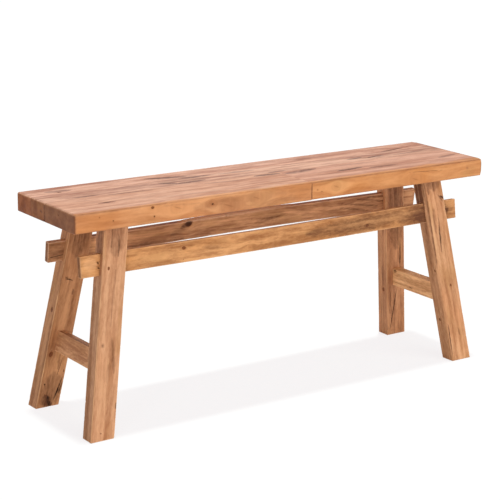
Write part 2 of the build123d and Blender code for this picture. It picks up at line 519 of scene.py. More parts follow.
        # Rubbed places are painted paler, with painted highlights.
        rub = sheet.times(layers["rub"], sheet.span(noise["fibre"], 0.3, 0.7, 0.35, 0.8), clamp=True)
        colour = sheet.mixed(rub, colour, srgb(self.rub))
        return sheet.mixed(sheet.times(layers["dirt"], 0.93, clamp=True), colour, srgb(DIRT))


@dataclass(frozen=True)
class SeatFinish(TimberFinish):
    """The look of a seat board, calmer than the other timbers, with a worn top and a painted sheen on it."""

    mottle: float = 0.14
    dash: float = 0.16
    fine: float = 0.35
    streak_across: float = 0.075
    stain_and_shade_colour: Triple = (100.0, 66.0, 52.0)


@dataclass(frozen=True)
class LegFinish(TimberFinish):
    """The look of a leg, evenly coloured."""

    figure: float = 0.2
    mottle: float = 0.17
    fine: float = 0.85


@dataclass(frozen=True)
class KnotHabit:
    """How a knot grows, in shares of its radius, but for root_more and skin, which are millimetres."""

    length: float = 1.35
    root: float = 3.0
    root_more: float = 4.0
    parting: Pair = (2.6, 2.2)
    skin: float = 4.0
    lip_width: float = 0.16
    split_slant: float = 0.35
    split_width: float = 0.13
    lip_relief: float = 0.35
    split_relief: float = 0.8
    dish_relief: float = 0.25
    lip_dirt: float = 0.2
    split_dirt: float = 0.85


KNOT_HABIT = KnotHabit()
JOINED_ARRIS = Arris(0.25, 0.15, 0.4)
SMALLEST_ARRIS = 0.3
SAWN_ARRIS = 0.45
# The noise from which an arris is nicked, how soon a nick is full, and the noise that leaves its size alone.
NICK_START = 0.74
NICK_RISE = 0.2
CALM_WEAR = 0.35
# How far under a side its wear, its marks, its painted shade, sheen and dirt, and its end grain reach,
# in millimetres.
WORN_SKIN = 7.0
MARK_SKIN = 5.0
SURFACE_REACH = 3.0
END_REACH = 0.8
# The height of the fine ripple over that of the swell, and of both on an end over that on a long side.
RIPPLE_SHARE = 0.35
END_WAVE_SHARE = 0.3
# How far round a mark the faces are divided, once and once more, and how far under its side.
WIDE_MARGIN = 3.0
CLOSE_MARGIN = 1.2
FINE_SKIN = 3.0
BROAD_MARKS = (Mark.STAIN, Mark.RUB, Mark.HUMP)
# How far a mark reaches and how far its dirt does, in shares of its width.
MARK_REACHES = {
    Mark.STAIN: 1.2, Mark.RUB: 1.2, Mark.HUMP: 1.2, Mark.HOLE: 1.25, Mark.CRACK: 1.0, Mark.TEAR: 1.0,
}
DIRT_REACHES = {Mark.HOLE: 1.3, Mark.CRACK: 1.3, Mark.TEAR: 1.1}
LAYERS = ("dirt", "stain", "knot", "rub", "end", "faded")
# Rows by an arris stop this far short of the middle, and even rows need this many times their own spacing.
MIDDLE_ROOM = 0.8
EVEN_ROOM = 1.4
# How far apart the arrises of a timber read the noise, so that they wear differently.
ARRIS_LANES = (7, 13, 3, 5)
LANE_WIDTH = 100.0
TINY = 1e-6


def box(low: Triple, high: Triple) -> bmesh.types.BMesh:
    """A plain block between two corners."""
    bm = bmesh.new()
    bmesh.ops.create_cube(bm, size=1.0)
    bmesh.ops.scale(bm, vec=[last - first for first, last in zip(low, high)], verts=bm.verts)
    bmesh.ops.translate(bm, vec=[(first + last) / 2 for first, last in zip(low, high)], verts=bm.verts)
    return bm


@dataclass
class Timber:
    """One squared timber of the bench, from sawn block to worn piece.

    low and high are its corners in its own millimetres: along the grain, across it and through. kept holds
    the width, first and last, of the strip where a side's finish has stayed, without the top's painted sheen,
    and the side shade how much painted shade darkens a side where less light falls.
    """

    name: str
    slot: str
    low: Triple
    high: Triple
    setting: Matrix
    finish: TimberFinish
    seed: int
    arris: Arris = field(default_factory=Arris)
    own_arrises: dict[tuple[Side, Side], Arris] = field(default_factory=dict)
    joined_sides: tuple[Side, ...] = ()
    kept: dict[Side, Pair] = field(default_factory=dict)
    side_shade: dict[Side, float] = field(default_factory=dict)
    blemishes: list[Blemish] = field(default_factory=list)
    wave: float = 0.45
    crooks: Pair = (0.0, 0.0)
    crook_reach: float = 1.0
    pitch: Triple = (3.0, 3.0, 3.0)
    end_rows: tuple[float, ...] = (1.2, 2.6, 4.2, 6.2)
    layers: dict[str, np.ndarray] = field(default_factory=dict)

    def middle(self, axis: int) -> float:
        """The middle of the timber along one axis."""
        return (self.low[axis] + self.high[axis]) / 2

    def half(self, axis: int) -> float:
        """Half the timber's size along one axis."""
        return (self.high[axis] - self.low[axis]) / 2

    def block(self) -> bmesh.types.BMesh:
        """Saws the timber: a cube to size, its arrises broken, then rows of faces small enough to wear.

        Returns:
            The bmesh, in the timber's own millimetres.
        """
        bm = box(self.low, self.high)
        bmesh.ops.bevel(
            bm, geom=bm.edges[:], offset=SAWN_ARRIS, offset_type="OFFSET", segments=1, profile=0.5,
            affect="EDGES", material=-1,
        )
        for axis in (1, 2, 0):
            for place in self.rows(axis):
                where, facing = [0.0, 0.0, 0.0], [0.0, 0.0, 0.0]
                where[axis], facing[axis] = place, 1.0
                everything = bm.verts[:] + bm.edges[:] + bm.faces[:]
                bmesh.ops.bisect_plane(bm, geom=everything, dist=1e-4, plane_co=where, plane_no=facing)
        half = self.half(0)
        long_edges = [edge for edge in bm.edges if abs(edge.verts[0].co.x - edge.verts[1].co.x) > half]
        cuts = round((self.high[0] - self.low[0]) / self.pitch[0]) - 1
        bmesh.ops.subdivide_edges(bm, edges=long_edges, cuts=cuts, use_grid_fill=True)
        return bm

    def rows(self, axis: int) -> list[float]:
        """Where rows of faces are cut: close together near the arrises and even between.

        Args:
            axis: 0 for along, where only the rows near the ends are cut, 1 for across, 2 for through.

        Returns:
            The places along the axis.
        """
        low, high = self.low[axis], self.high[axis]
        near_ends = [row for row in self.end_rows if row < self.half(axis) - MIDDLE_ROOM]
        places = [low + row for row in near_ends] + [high - row for row in near_ends]
        room = high - low - 2 * near_ends[-1]
        if axis and room > self.pitch[axis] * EVEN_ROOM:
            count = round(room / self.pitch[axis])
            places += [low + near_ends[-1] + room * step / count for step in range(1, count)]
        return places

    def refine(self, bm: bmesh.types.BMesh) -> None:
        """Divides the faces again where a mark is finer than the rows, twice but for knots."""
        fine = [mark for mark in self.blemishes if mark.kind not in BROAD_MARKS]
        finest = [mark for mark in fine if mark.kind is not Mark.KNOT]
        for marks, margin in ((fine, WIDE_MARGIN), (finest, CLOSE_MARGIN)):
            faces = [face for mark in marks for face in self.faces_near(bm, mark, margin)]
            chosen = {edge for face in faces for edge in face.edges}
            if chosen:
                bmesh.ops.subdivide_edges(bm, edges=list(chosen), cuts=1, use_grid_fill=True)

    def faces_near(self, bm: bmesh.types.BMesh, mark: Blemish, margin: float) -> list[bmesh.types.BMFace]:
        """The faces of a mark's side that lie within a margin round it."""
        axis, sign = mark.side.value
        first, second = mark.side.lying
        level = self.middle(axis) + sign * self.half(axis)
        start = Vector(mark.start)
        run = Vector(mark.end or mark.start) - start
        length = max(run.length, TINY)
        way = run / length
        found = []
        for face in bm.faces:
            at = face.calc_center_median()
            if abs(at[axis] - level) > FINE_SKIN:
                continue
            off = Vector((at[first], at[second])) - start
            along = max(0.0, min(length, off.dot(way)))
            if (off - way * along).length < mark.width + margin:
                found.append(face)
        return found

    def under(self, side: Side, points: np.ndarray) -> np.ndarray:
        """How deep each point lies under a side."""
        axis, sign = side.value
        return self.half(axis) - sign * (points[:, axis] - self.middle(axis))

    def deepen(self, name: str, values: np.ndarray) -> None:
        """Raises an attribute to some values where they are higher."""
        self.layers[name] = np.maximum(self.layers[name], values)

    def weather(self, points: np.ndarray) -> np.ndarray:
        """Wears a block's points and works out the attributes that its finish reads.

        Args:
            points: the block's points in millimetres.

        Returns:
            The worn points.
        """
        worn = points.copy()
        noise = Unevenness(self.seed)
        self.layers = {name: np.zeros(len(points)) for name in LAYERS}
        self.layers["grain"] = points.copy()
        for side in Side:
            if side in self.joined_sides:
                continue
            axis, sign = side.value
            below = self.under(side, points)
            # Painted shade darkens each side by how much less light falls on it.
            self.deepen("stain", near(below, SURFACE_REACH, full=1.3) * self.side_shade.get(side, 0.0))
            if axis == 0:
                self.deepen("end", near(below, END_REACH))
            swell = noise.at(points, SWELL, sign) * self.wave
            ripple = noise.at(points, RIPPLE, sign) * self.wave * RIPPLE_SHARE
            share = END_WAVE_SHARE if axis == 0 else 1.0
            worn[:, axis] -= sign * near(below, WORN_SKIN) * (swell + ripple) * share
        self.fade_top_and_paint_sheen(points, noise)
        for mark in self.blemishes:
            self.press(mark, points, worn, noise)
        for one, other in self.arris_pairs():
            self.break_arris(one, other, points, worn, noise)
        self.bend(points, worn)
        return worn

    def fade_top_and_paint_sheen(self, points: np.ndarray, noise: Unevenness) -> None:
        """Takes the finish off the top, with a painted sheen, but for a strip by each side that keeps it."""
        if not self.kept:
            return
        sheen_and_fading = near(self.under(Side.HIGH_FACE, points), SURFACE_REACH, full=1.3)
        share = (points[:, 0] - self.low[0]) / (self.half(0) * 2)
        for side, (first, last) in self.kept.items():
            strip = (first + (last - first) * share) * uneven(noise.at(points, WAX_LINE))
            sheen_and_fading *= smooth(self.under(side, points) / strip - 0.5)
        self.layers["faded"] = sheen_and_fading

    def arris_pairs(self) -> list[tuple[Side, Side]]:
        """Every two sides that meet along an arris."""
        return [(one, other) for one, other in product(Side, Side) if one.value[0] < other.value[0]]

    def break_arris(
        self, one: Side, other: Side, points: np.ndarray, worn: np.ndarray, noise: Unevenness
    ) -> None:
        """Rounds or bevels one arris, more in some places than in others, and nicks it."""
        joined = one in self.joined_sides or other in self.joined_sides
        style = JOINED_ARRIS if joined else self.own_arrises.get((one, other), self.arris)
        (a, sign_a), (b, sign_b) = one.value, other.value
        third = 3 - a - b
        line = np.zeros_like(points)
        line[:, 0] = points[:, third]
        line[:, 1] = LANE_WIDTH * np.dot(ARRIS_LANES, (a, b, sign_a, sign_b))
        slow = noise.at(line, ARRIS_WEAR)
        nicks = smooth((noise.at(line, ARRIS_NICKS) - NICK_START) / NICK_RISE)
        size = style.size + style.wear * (slow - CALM_WEAR) + style.nick * nicks * slow
        for ending in Side:
            if ending.value[0] == third and ending not in self.joined_sides:
                size += style.knock[ending.value[1] > 0] * near(self.under(ending, points), style.fading)
        size = np.maximum(size, SMALLEST_ARRIS)
        deep = size * style.ratio
        out_a = (sign_a * (worn[:, a] - self.middle(a)) - self.half(a) + size) / size
        out_b = (sign_b * (worn[:, b] - self.middle(b)) - self.half(b) + deep) / deep
        meeting = (out_a > 0) & (out_b > 0)
        if style.flat:
            move_a = move_b = np.where(meeting, np.maximum(out_a + out_b - 1.0, 0.0) / 2, 0.0)
        else:
            away = np.hypot(out_a, out_b)
            share = np.where(meeting & (away > 1.0), 1.0 - 1.0 / np.maximum(away, TINY), 0.0)
            move_a, move_b = out_a * share, out_b * share
        worn[:, a] -= sign_a * move_a * size
        worn[:, b] -= sign_b * move_b * deep
        if not joined:
            away = np.hypot(self.under(one, points), self.under(other, points))
            # The arris is painted paler, rubbed and with a painted highlight, and darker, with dirt and
            # painted shade.
            self.deepen("rub", near(away, uneven(slow, 2.0, 1.4)) * uneven(slow, 0.35, 0.65) * style.rub)
            self.deepen("stain", near(away, SURFACE_REACH, full=1.2) * style.soil_and_shade)

    def press(self, mark: Blemish, points: np.ndarray, worn: np.ndarray, noise: Unevenness) -> None:
        """Presses one mark into its side and notes its dirt, stains, painted shade, painted highlight or
        knot.
        """
        axis, sign = mark.side.value
        start = np.array(mark.start)
        run = np.array(mark.end or mark.start) - start
        length = float(np.hypot(*run))
        flat = points[:, mark.side.lying] - start
        below = self.under(mark.side, points)
        jitter = uneven(noise.at(points, RAGGED))
        if mark.kind is Mark.KNOT:
            self.grow_knot(mark, flat, below, worn, jitter)
            return
        share = np.clip(flat @ run / max(length, TINY) ** 2, 0.0, 1.0)
        taper = np.sqrt(np.clip(4.0 * share * (1.0 - share), 0.05, 1.0)) if length > 1e-3 else 1.0
        off = np.linalg.norm(flat - share[:, None] * run, axis=1) / (mark.width * taper * jitter)
        shape = smooth(MARK_REACHES[mark.kind] - off)
        fade = near(below, MARK_SKIN)
        if mark.kind in (Mark.STAIN, Mark.RUB):
            self.deepen(mark.kind.value, mark.strength * shape * fade)
            return
        if mark.kind is Mark.HUMP:
            worn[:, axis] += sign * mark.depth * shape * fade
            return
        torn = uneven(noise.at(points, TORN), 0.4, 0.9) if mark.kind is Mark.TEAR else np.ones(len(points))
        worn[:, axis] -= sign * mark.depth * shape * torn * fade
        dark = smooth(DIRT_REACHES[mark.kind] - off) * np.clip(torn, 0.0, 1.0)
        self.deepen("dirt", mark.strength * dark * fade)

    def grow_knot(
        self, mark: Blemish, flat: np.ndarray, below: np.ndarray, worn: np.ndarray, jitter: np.ndarray
    ) -> None:
        """Grows a knot: rings of its own, and grain that parts round it.

        Args:
            mark: the knot, whose width is its radius.
            flat: each point's place from its middle, measured on its side.
            below: how deep each point lies under the side.
            worn: the worn points.
            jitter: noise that makes its outline uneven.
        """
        habit = KNOT_HABIT
        axis, sign = mark.side.value
        radius = mark.width
        along, beside = flat[:, 0], flat[:, 1]
        away = np.abs(beside)
        deep = near(below, radius * habit.root + habit.root_more)
        ring = np.hypot(along / habit.length, beside) / radius * uneven(jitter, 0.85, 0.3)
        self.deepen("knot", mark.strength * np.clip(1.0 - ring / 2.0, 0.0, 1.0) * (deep > 0.02))
        spread = radius * np.exp(-((along / (radius * habit.parting[0])) ** 2)) * deep
        reach = np.exp(-np.maximum(away - radius, 0.0) / (radius * habit.parting[1]))
        self.layers["grain"][:, mark.side.lying[1]] -= np.sign(beside) * np.minimum(away, spread * reach)
        surface = near(below, habit.skin)
        dish = smooth(1.2 - ring)
        lip = np.exp(-(((ring - 1.0) / habit.lip_width) ** 2))
        off = np.abs(beside + habit.split_slant * along)
        split = near(off, radius * habit.split_width) * smooth(1.1 - ring)
        relief = habit.lip_relief * lip + habit.split_relief * split + habit.dish_relief * dish
        worn[:, axis] -= sign * surface * mark.depth * relief
        dirt = np.maximum(split * habit.split_dirt, lip * habit.lip_dirt)
        self.deepen("dirt", mark.strength * surface * dirt)

    def bend(self, points: np.ndarray, worn: np.ndarray) -> None:
        """Bows the long edges by the timber's crooks, the high edge's first."""
        if not any(self.crooks):
            return
        arch = np.clip(1.0 - ((points[:, 0] - self.middle(0)) / self.crook_reach) ** 2, 0.0, 1.0)
        up = np.clip((points[:, 1] - self.low[1]) / (self.half(1) * 2), 0.0, 1.0)
        worn[:, 1] += arch * (self.crooks[0] * up + self.crooks[1] * (1.0 - up))

    def raise_piece(self) -> bpy.types.Object:
        """Makes the piece, dresses it and puts it in the CAD node's place.

        Returns:
            The object, at the origin, with its place in its mesh.
        """
        bm = self.block()
        self.refine(bm)
        mesh = bpy.data.meshes.new(self.name)
        bm.to_mesh(mesh)
        bm.free()
        count = len(mesh.vertices)
        flat = np.empty(count * 3, dtype=np.float32)
        mesh.vertices.foreach_get("co", flat)
        worn = self.weather(flat.reshape(-1, 3).astype(np.float64))
        mesh.vertices.foreach_set("co", worn.astype(np.float32).ravel())
        self.note_layers(mesh)
        mesh.transform(self.setting)
        mesh.shade_smooth()
        mesh.materials.append(self.finish.material())
        piece = bpy.data.objects.new(self.name, mesh)
        bpy.context.scene.collection.objects.link(piece)
        return piece

    def note_layers(self, mesh: bpy.types.Mesh) -> None:
        """Writes the attributes that the finish reads."""
        for name, values in self.layers.items():
            kind = "FLOAT_VECTOR" if name == "grain" else "FLOAT"
            layer = mesh.attributes.new(name, kind, "POINT")
            word = "vector" if name == "grain" else "value"
            layer.data.foreach_set(word, values.astype(np.float32).ravel())


CLEARANCE = 0.15
END_GAP = 1.0
MORTISE_ROOT = 20.0
TENON_ROOT = 6.0
JOINT_DIRT = 0.45


def framed(origin: Vector, along: Vector, across: Vector, through: Vector) -> Matrix:
    """The setting that carries a timber's millimetres into the bench's metres.

    Args:
        origin: where the timber's own zero lies, in millimetres.
        along: the bench's millimetres for each millimetre along the grain.
        across: the same across the grain.
        through: the same through the timber.

    Returns:
        The matrix.
    """
    rows = [[column[axis] * MM for column in (along, across, through, origin)] for axis in range(3)]
    return Matrix(rows + [[0.0, 0.0, 0.0, 1.0]])


def cutter(low: Triple, high: Triple, setting: Matrix) -> bpy.types.Mesh:
    """A plain block for cutting or adding a joint, in a timber's setting."""
    bm = box(low, high)
    mesh = bpy.data.meshes.new("cutter")
    bm.to_mesh(mesh)
    bm.free()
    flat = np.array([vertex.co for vertex in mesh.vertices], dtype=np.float32)
    mesh.attributes.new("grain", "FLOAT_VECTOR", "POINT").data.foreach_set("vector", flat.ravel())
    mesh.attributes.new("dirt", "FLOAT", "POINT").data.foreach_set("value", [JOINT_DIRT] * len(flat))
    mesh.transform(setting)
    return mesh


def carve(piece: bpy.types.Object, tool: bpy.types.Mesh, operation: str = "DIFFERENCE") -> None:
    """Cuts a joint into a piece, or adds a tenon to it, and keeps the result as the piece's mesh."""
    helper = bpy.data.objects.new("cutter", tool)
    bpy.context.scene.collection.objects.link(helper)
    joint = piece.modifiers.new("joint", "BOOLEAN")
    joint.operation, joint.solver, joint.object = operation, "EXACT", helper
    graph = bpy.context.evaluated_depsgraph_get()
    carved = piece.evaluated_get(graph)
    result = bpy.data.meshes.new_from_object(carved, preserve_all_data_layers=True, depsgraph=graph)
    piece.modifiers.clear()
    old = piece.data
    piece.data = result
    result.name = piece.name
    bpy.data.meshes.remove(old)
    bpy.data.objects.remove(helper)
    bpy.data.meshes.remove(tool)


@dataclass
class PlankSeat:
    """The seat: four boards, edge to edge, with the two front ones butted end to end."""

    length: float = 1014.0
    depth: float = 233.0
    thickness: float = 37.6
    height: float = 450.0
    seam_front: float = 4.0
    seam_rear: float = 60.0
    butt: float = 41.0
    first_seed: int = 11

    def setting(self) -> Matrix:
        """The seat's own zero is in the middle of its thickness."""
        origin = Vector((0.0, 0.0, self.height - self.thickness / 2))
        return framed(origin, Vector((1, 0, 0)), Vector((0, 1, 0)), Vector((0, 0, 1)))

    def boards(self) -> list[Timber]:
        """The four boards as timbers."""
        front, rear = -self.depth / 2, self.depth / 2
        end = self.length / 2
        seam, butt = self.seam_front, self.butt
        joined = {
            "seat_board_rear": (Side.LOW_EDGE,),
            "seat_board_middle": (Side.LOW_EDGE, Side.HIGH_EDGE),
            "seat_board_front_left": (Side.HIGH_EDGE, Side.HIGH_END),
            "seat_board_front_right": (Side.HIGH_EDGE, Side.LOW_END),
        }
        spans = {
            "seat_board_rear": ((-end, self.seam_rear), (end, rear)),
            "seat_board_middle": ((-end, seam), (end, self.seam_rear)),
            "seat_board_front_left": ((-end, front), (butt, seam)),
            "seat_board_front_right": ((butt, front), (end, seam)),
        }
        # An arris's soil is dirt and painted shade, and its rub is rubbed wood with a painted highlight.
        arrises = {
            (Side.LOW_EDGE, Side.HIGH_FACE): Arris(3.0, 1.0, 1.4, rub=0.0, soil_and_shade=0.5, knock=(1.5, 3.0)),
            (Side.HIGH_EDGE, Side.HIGH_FACE): Arris(0.7, 0.4, 0.9, flat=True, rub=0.0, soil_and_shade=0.3),
            (Side.LOW_END, Side.HIGH_FACE): Arris(3.2, 1.2, 1.6, flat=True, rub=0.35),
            (Side.HIGH_END, Side.HIGH_FACE): Arris(1.2, 0.5, 1.0, rub=0.0, soil_and_shade=0.8, knock=(5.0, 5.0)),
            (Side.LOW_END, Side.LOW_EDGE): Arris(2.2, 0.8, 1.0, rub=0.0, soil_and_shade=0.5),
            (Side.LOW_END, Side.HIGH_EDGE): Arris(2.4, 0.6, 0.8, rub=0.2),
            (Side.HIGH_END, Side.LOW_EDGE): Arris(3.6, 0.6, 0.8, rub=0.0, soil_and_shade=0.8, knock=(3.5, 3.5)),
            (Side.HIGH_END, Side.HIGH_EDGE): Arris(6.5, 0.8, 0.8, rub=0.0, soil_and_shade=0.4),
        }
        arrises |= {
            (edge, Side.LOW_FACE): Arris(0.9, 0.8, 1.3, rub=0.0, soil_and_shade=0.55, knock=(3.0, 0.0))
            for edge in (Side.LOW_END, Side.HIGH_END, Side.HIGH_EDGE)
        }
        undercuts = {"seat_board_front_left": 4.0, "seat_board_front_right": 8.0}
        # The strips beside the edges that keep the finish, without the top's painted sheen.
        narrow = (2.0, 2.0)
        kept = {
            "seat_board_rear": {Side.HIGH_EDGE: narrow, Side.HIGH_END: narrow},
            "seat_board_middle": {Side.HIGH_END: narrow},
            "seat_board_front_left": {Side.LOW_EDGE: (9.0, 10.0)},
            "seat_board_front_right": {Side.LOW_EDGE: (10.0, 17.0), Side.HIGH_END: narrow},
        }
        # Painted shade on the boards' left ends.
        side_shade = {"seat_board_rear": 0.08, "seat_board_middle": 0.14, "seat_board_front_left": 0.5}
        half = self.thickness / 2
        made = []
        for number, (name, (low, high)) in enumerate(spans.items()):
            ratio = 0.3 if name in undercuts else 1.0
            lower = Arris(undercuts.get(name, 1.0), 0.8, 1.3, rub=0.0, soil_and_shade=0.3, ratio=ratio)
            made.append(
                Timber(
                    name, "seat_timber", (*low, -half), (*high, half), self.setting(), SEAT_FINISHES[name],
                    self.first_seed + number, own_arrises=arrises | {(Side.LOW_EDGE, Side.LOW_FACE): lower},
                    joined_sides=joined[name], kept=kept[name], side_shade={Side.LOW_END: side_shade.get(name, 0.0)},
                    blemishes=marked(SEAT_MARKS[name]), wave=0.3, pitch=(3.2, 3.2, 3.0),
                )
            )
        return made


@dataclass
class SplayedLegs:
    """Four bars that splay lengthwise and crosswise, with level feet and level shoulders."""

    width: float = 52.0
    thickness: float = 32.5
    shoulder: float = 412.4
    top: Pair = (394.3, 61.75)
    foot: Pair = (460.5, 113.5)
    tenon: Triple = (24.0, 34.0, 18.0)
    first_seed: int = 31
    # Painted shade on each leg's left face.
    side_shades: dict[str, float] = field(
        default_factory=lambda: {"front_left": 0.36, "rear_left": 0.4, "front_right": 0.24, "rear_right": 0.0}
    )
    sides: dict[str, int] = field(default_factory=lambda: {"front": -1, "rear": 1})
    ends: dict[str, int] = field(default_factory=lambda: {"left": -1, "right": 1})

    def middle(self, end: int, side: int, level: float) -> Vector:
        """The point on a leg's middle line at a height above the floor."""
        low = Vector((end * self.foot[0], side * self.foot[1], 0.0))
        high = Vector((end * self.top[0], side * self.top[1], self.shoulder))
        return low.lerp(high, level / self.shoulder)

    def axes(self, end: int, side: int) -> tuple[Vector, Vector, Vector]:
        """A leg's own directions: up it, across its front face and through it."""
        up = (self.middle(end, side, self.shoulder) - self.middle(end, side, 0.0)).normalized()
        through = up.cross(Vector((1, 0, 0))).normalized()
        return up, through.cross(up), through

    def setting(self, end: int, side: int) -> Matrix:
        """Carries level slices of a leg along its slant, so that u is the height above the floor."""
        up, across, through = self.axes(end, side)
        level = [way - up * (way.z / up.z) for way in (across, through)]
        return framed(self.middle(end, side, 0.0), up / up.z, *level)

    def lifted(self, end: int, side: int, face: Side, spot: Pair) -> Pair:
        """Turns a place measured up the slant of a leg's face into one with its height above the floor."""
        up, across, through = self.axes(end, side)
        axis, sign = face.value
        over = sign * self.width / 2 if axis == 1 else spot[1]
        deep = spot[1] if axis == 1 else sign * self.thickness / 2
        return (spot[0] * up.z + over * across.z + deep * through.z, spot[1])

    def placed(self, end: int, side: int, marks: list[Blemish]) -> list[Blemish]:
        """The marks of a leg with their places by height."""
        made = []
        for mark in marks:
            start = self.lifted(end, side, mark.side, mark.start)
            finish = mark.end and self.lifted(end, side, mark.side, mark.end)
            made.append(replace(mark, start=start, end=finish))
        return made

    def legs(self) -> list[Timber]:
        """The four legs as timbers."""
        made = []
        for number, (side_name, end_name) in enumerate(product(self.sides, self.ends)):
            side, end = self.sides[side_name], self.ends[end_name]
            key = f"{side_name}_{end_name}"
            foot, shoulder = Arris(0.7, 0.9, 1.4), Arris(0.4, 0.2, 0.0)
            arrises = {(Side.LOW_END, other): foot for other in Side if other.value[0]}
            arrises |= {(Side.HIGH_END, other): shoulder for other in Side if other.value[0]}
            if key == "front_right":
                worn_off = Arris(2.4, 2.0, 1.5, flat=True, rub=0.5, knock=(0.0, 7.5), fading=240.0)
                arrises[(Side.LOW_EDGE, Side.LOW_FACE)] = worn_off
            made.append(
                Timber(
                    f"leg_{key}", "leg_timber", (0.0, -self.width / 2, -self.thickness / 2),
                    (self.shoulder, self.width / 2, self.thickness / 2), self.setting(end, side),
                    LEG_FINISHES[key], self.first_seed + number, arris=Arris(1.1, 1.2, 1.6),
                    own_arrises=arrises, side_shade={Side.LOW_EDGE: self.side_shades[key]},
                    blemishes=self.placed(end, side, marked(LEG_MARKS[key])), wave=0.25,
                    pitch=(2.9, 2.7, 2.7),
                )
            )
        return made

    def tenon_block(self, end: int, side: int, clearance: float, gap: float, root: float) -> bpy.types.Mesh:
        """A leg's blind tenon, or with a clearance its mortise, from some way below the shoulder."""
        depth, width, thickness = self.tenon
        low = (self.shoulder - root, -width / 2 - clearance, -thickness / 2 - clearance)
        high = (self.shoulder + depth + gap, width / 2 + clearance, thickness / 2 + clearance)
        return cutter(low, high, self.setting(end, side))


@dataclass
class LongStretchers:
    """Two thin boards on edge that pass through the legs and stand out past them."""

    height: float = 42.4
    thickness: float = 12.0
    stubs: dict[str, float] = field(default_factory=lambda: {"front": 39.8, "rear": 37.5})
    levels: dict[str, float] = field(default_factory=lambda: {"front": 334.9, "rear": 332.7})
    shifts: dict[str, float] = field(default_factory=lambda: {"front": -2.5, "rear": 2.3})
    crooks: dict[str, Pair] = field(default_factory=lambda: {"front": (-2.0, -1.0), "rear": (2.8, 4.8)})
    run_in: float = 20.0
    first_seed: int = 51

    def setting(self, legs: SplayedLegs, name: str) -> Matrix:
        """A stretcher's section leans as the legs do, and its own zero is the bench's middle."""
        side = legs.sides[name]
        middle = legs.middle(1, side, self.levels[name])
        up = legs.axes(1, side)[0]
        lean = Vector((0.0, up.y, up.z)).normalized()
        along = Vector((1, 0, 0))
        return framed(Vector((0.0, middle.y, middle.z)), along, lean, along.cross(lean))

    def half_length(self, legs: SplayedLegs, name: str) -> float:
        """Half the length from stub end to stub end."""
        return legs.middle(1, 1, self.levels[name]).x + legs.width / 2 + self.stubs[name]

    def boards(self, legs: SplayedLegs) -> list[Timber]:
        """The two stretchers as timbers."""
        made = []
        for number, name in enumerate(legs.sides):
            half, shift = self.half_length(legs, name), self.shifts[name]
            across, through = self.height / 2, self.thickness / 2
            reach = half - self.stubs[name] - legs.width - self.run_in
            blunt = Arris(1.2, 0.9, 1.4)
            ends = (Side.LOW_END, Side.HIGH_END)
            arrises = {(end, other): blunt for end in ends for other in Side if other.value[0]}
            # Painted shade on each stretcher's left end.
            made.append(
                Timber(
                    f"stretcher_{name}", "stretcher_timber", (shift - half, -across, -through),
                    (shift + half, across, through), self.setting(legs, name), STRETCHER_FINISHES[name],
                    self.first_seed + number, arris=Arris(0.8, 0.9, 1.5), own_arrises=arrises,
                    side_shade={Side.LOW_END: 0.3}, blemishes=marked(STRETCHER_MARKS[name]), wave=0.2,
                    crooks=self.crooks[name], crook_reach=reach, pitch=(2.9, 2.7, 3.0),
                    end_rows=(1.1, 2.4, 4.0),
                )
            )
        return made

    def mortise(self, legs: SplayedLegs, name: str, clearance: float) -> bpy.types.Mesh:
        """The through mortise that a stretcher passes, as one long block."""
        half = self.half_length(legs, name) + self.run_in
        across, through = self.height / 2 + clearance, self.thickness / 2 + clearance
        return cutter((-half, -across, -through), (half, across, through), self.setting(legs, name))


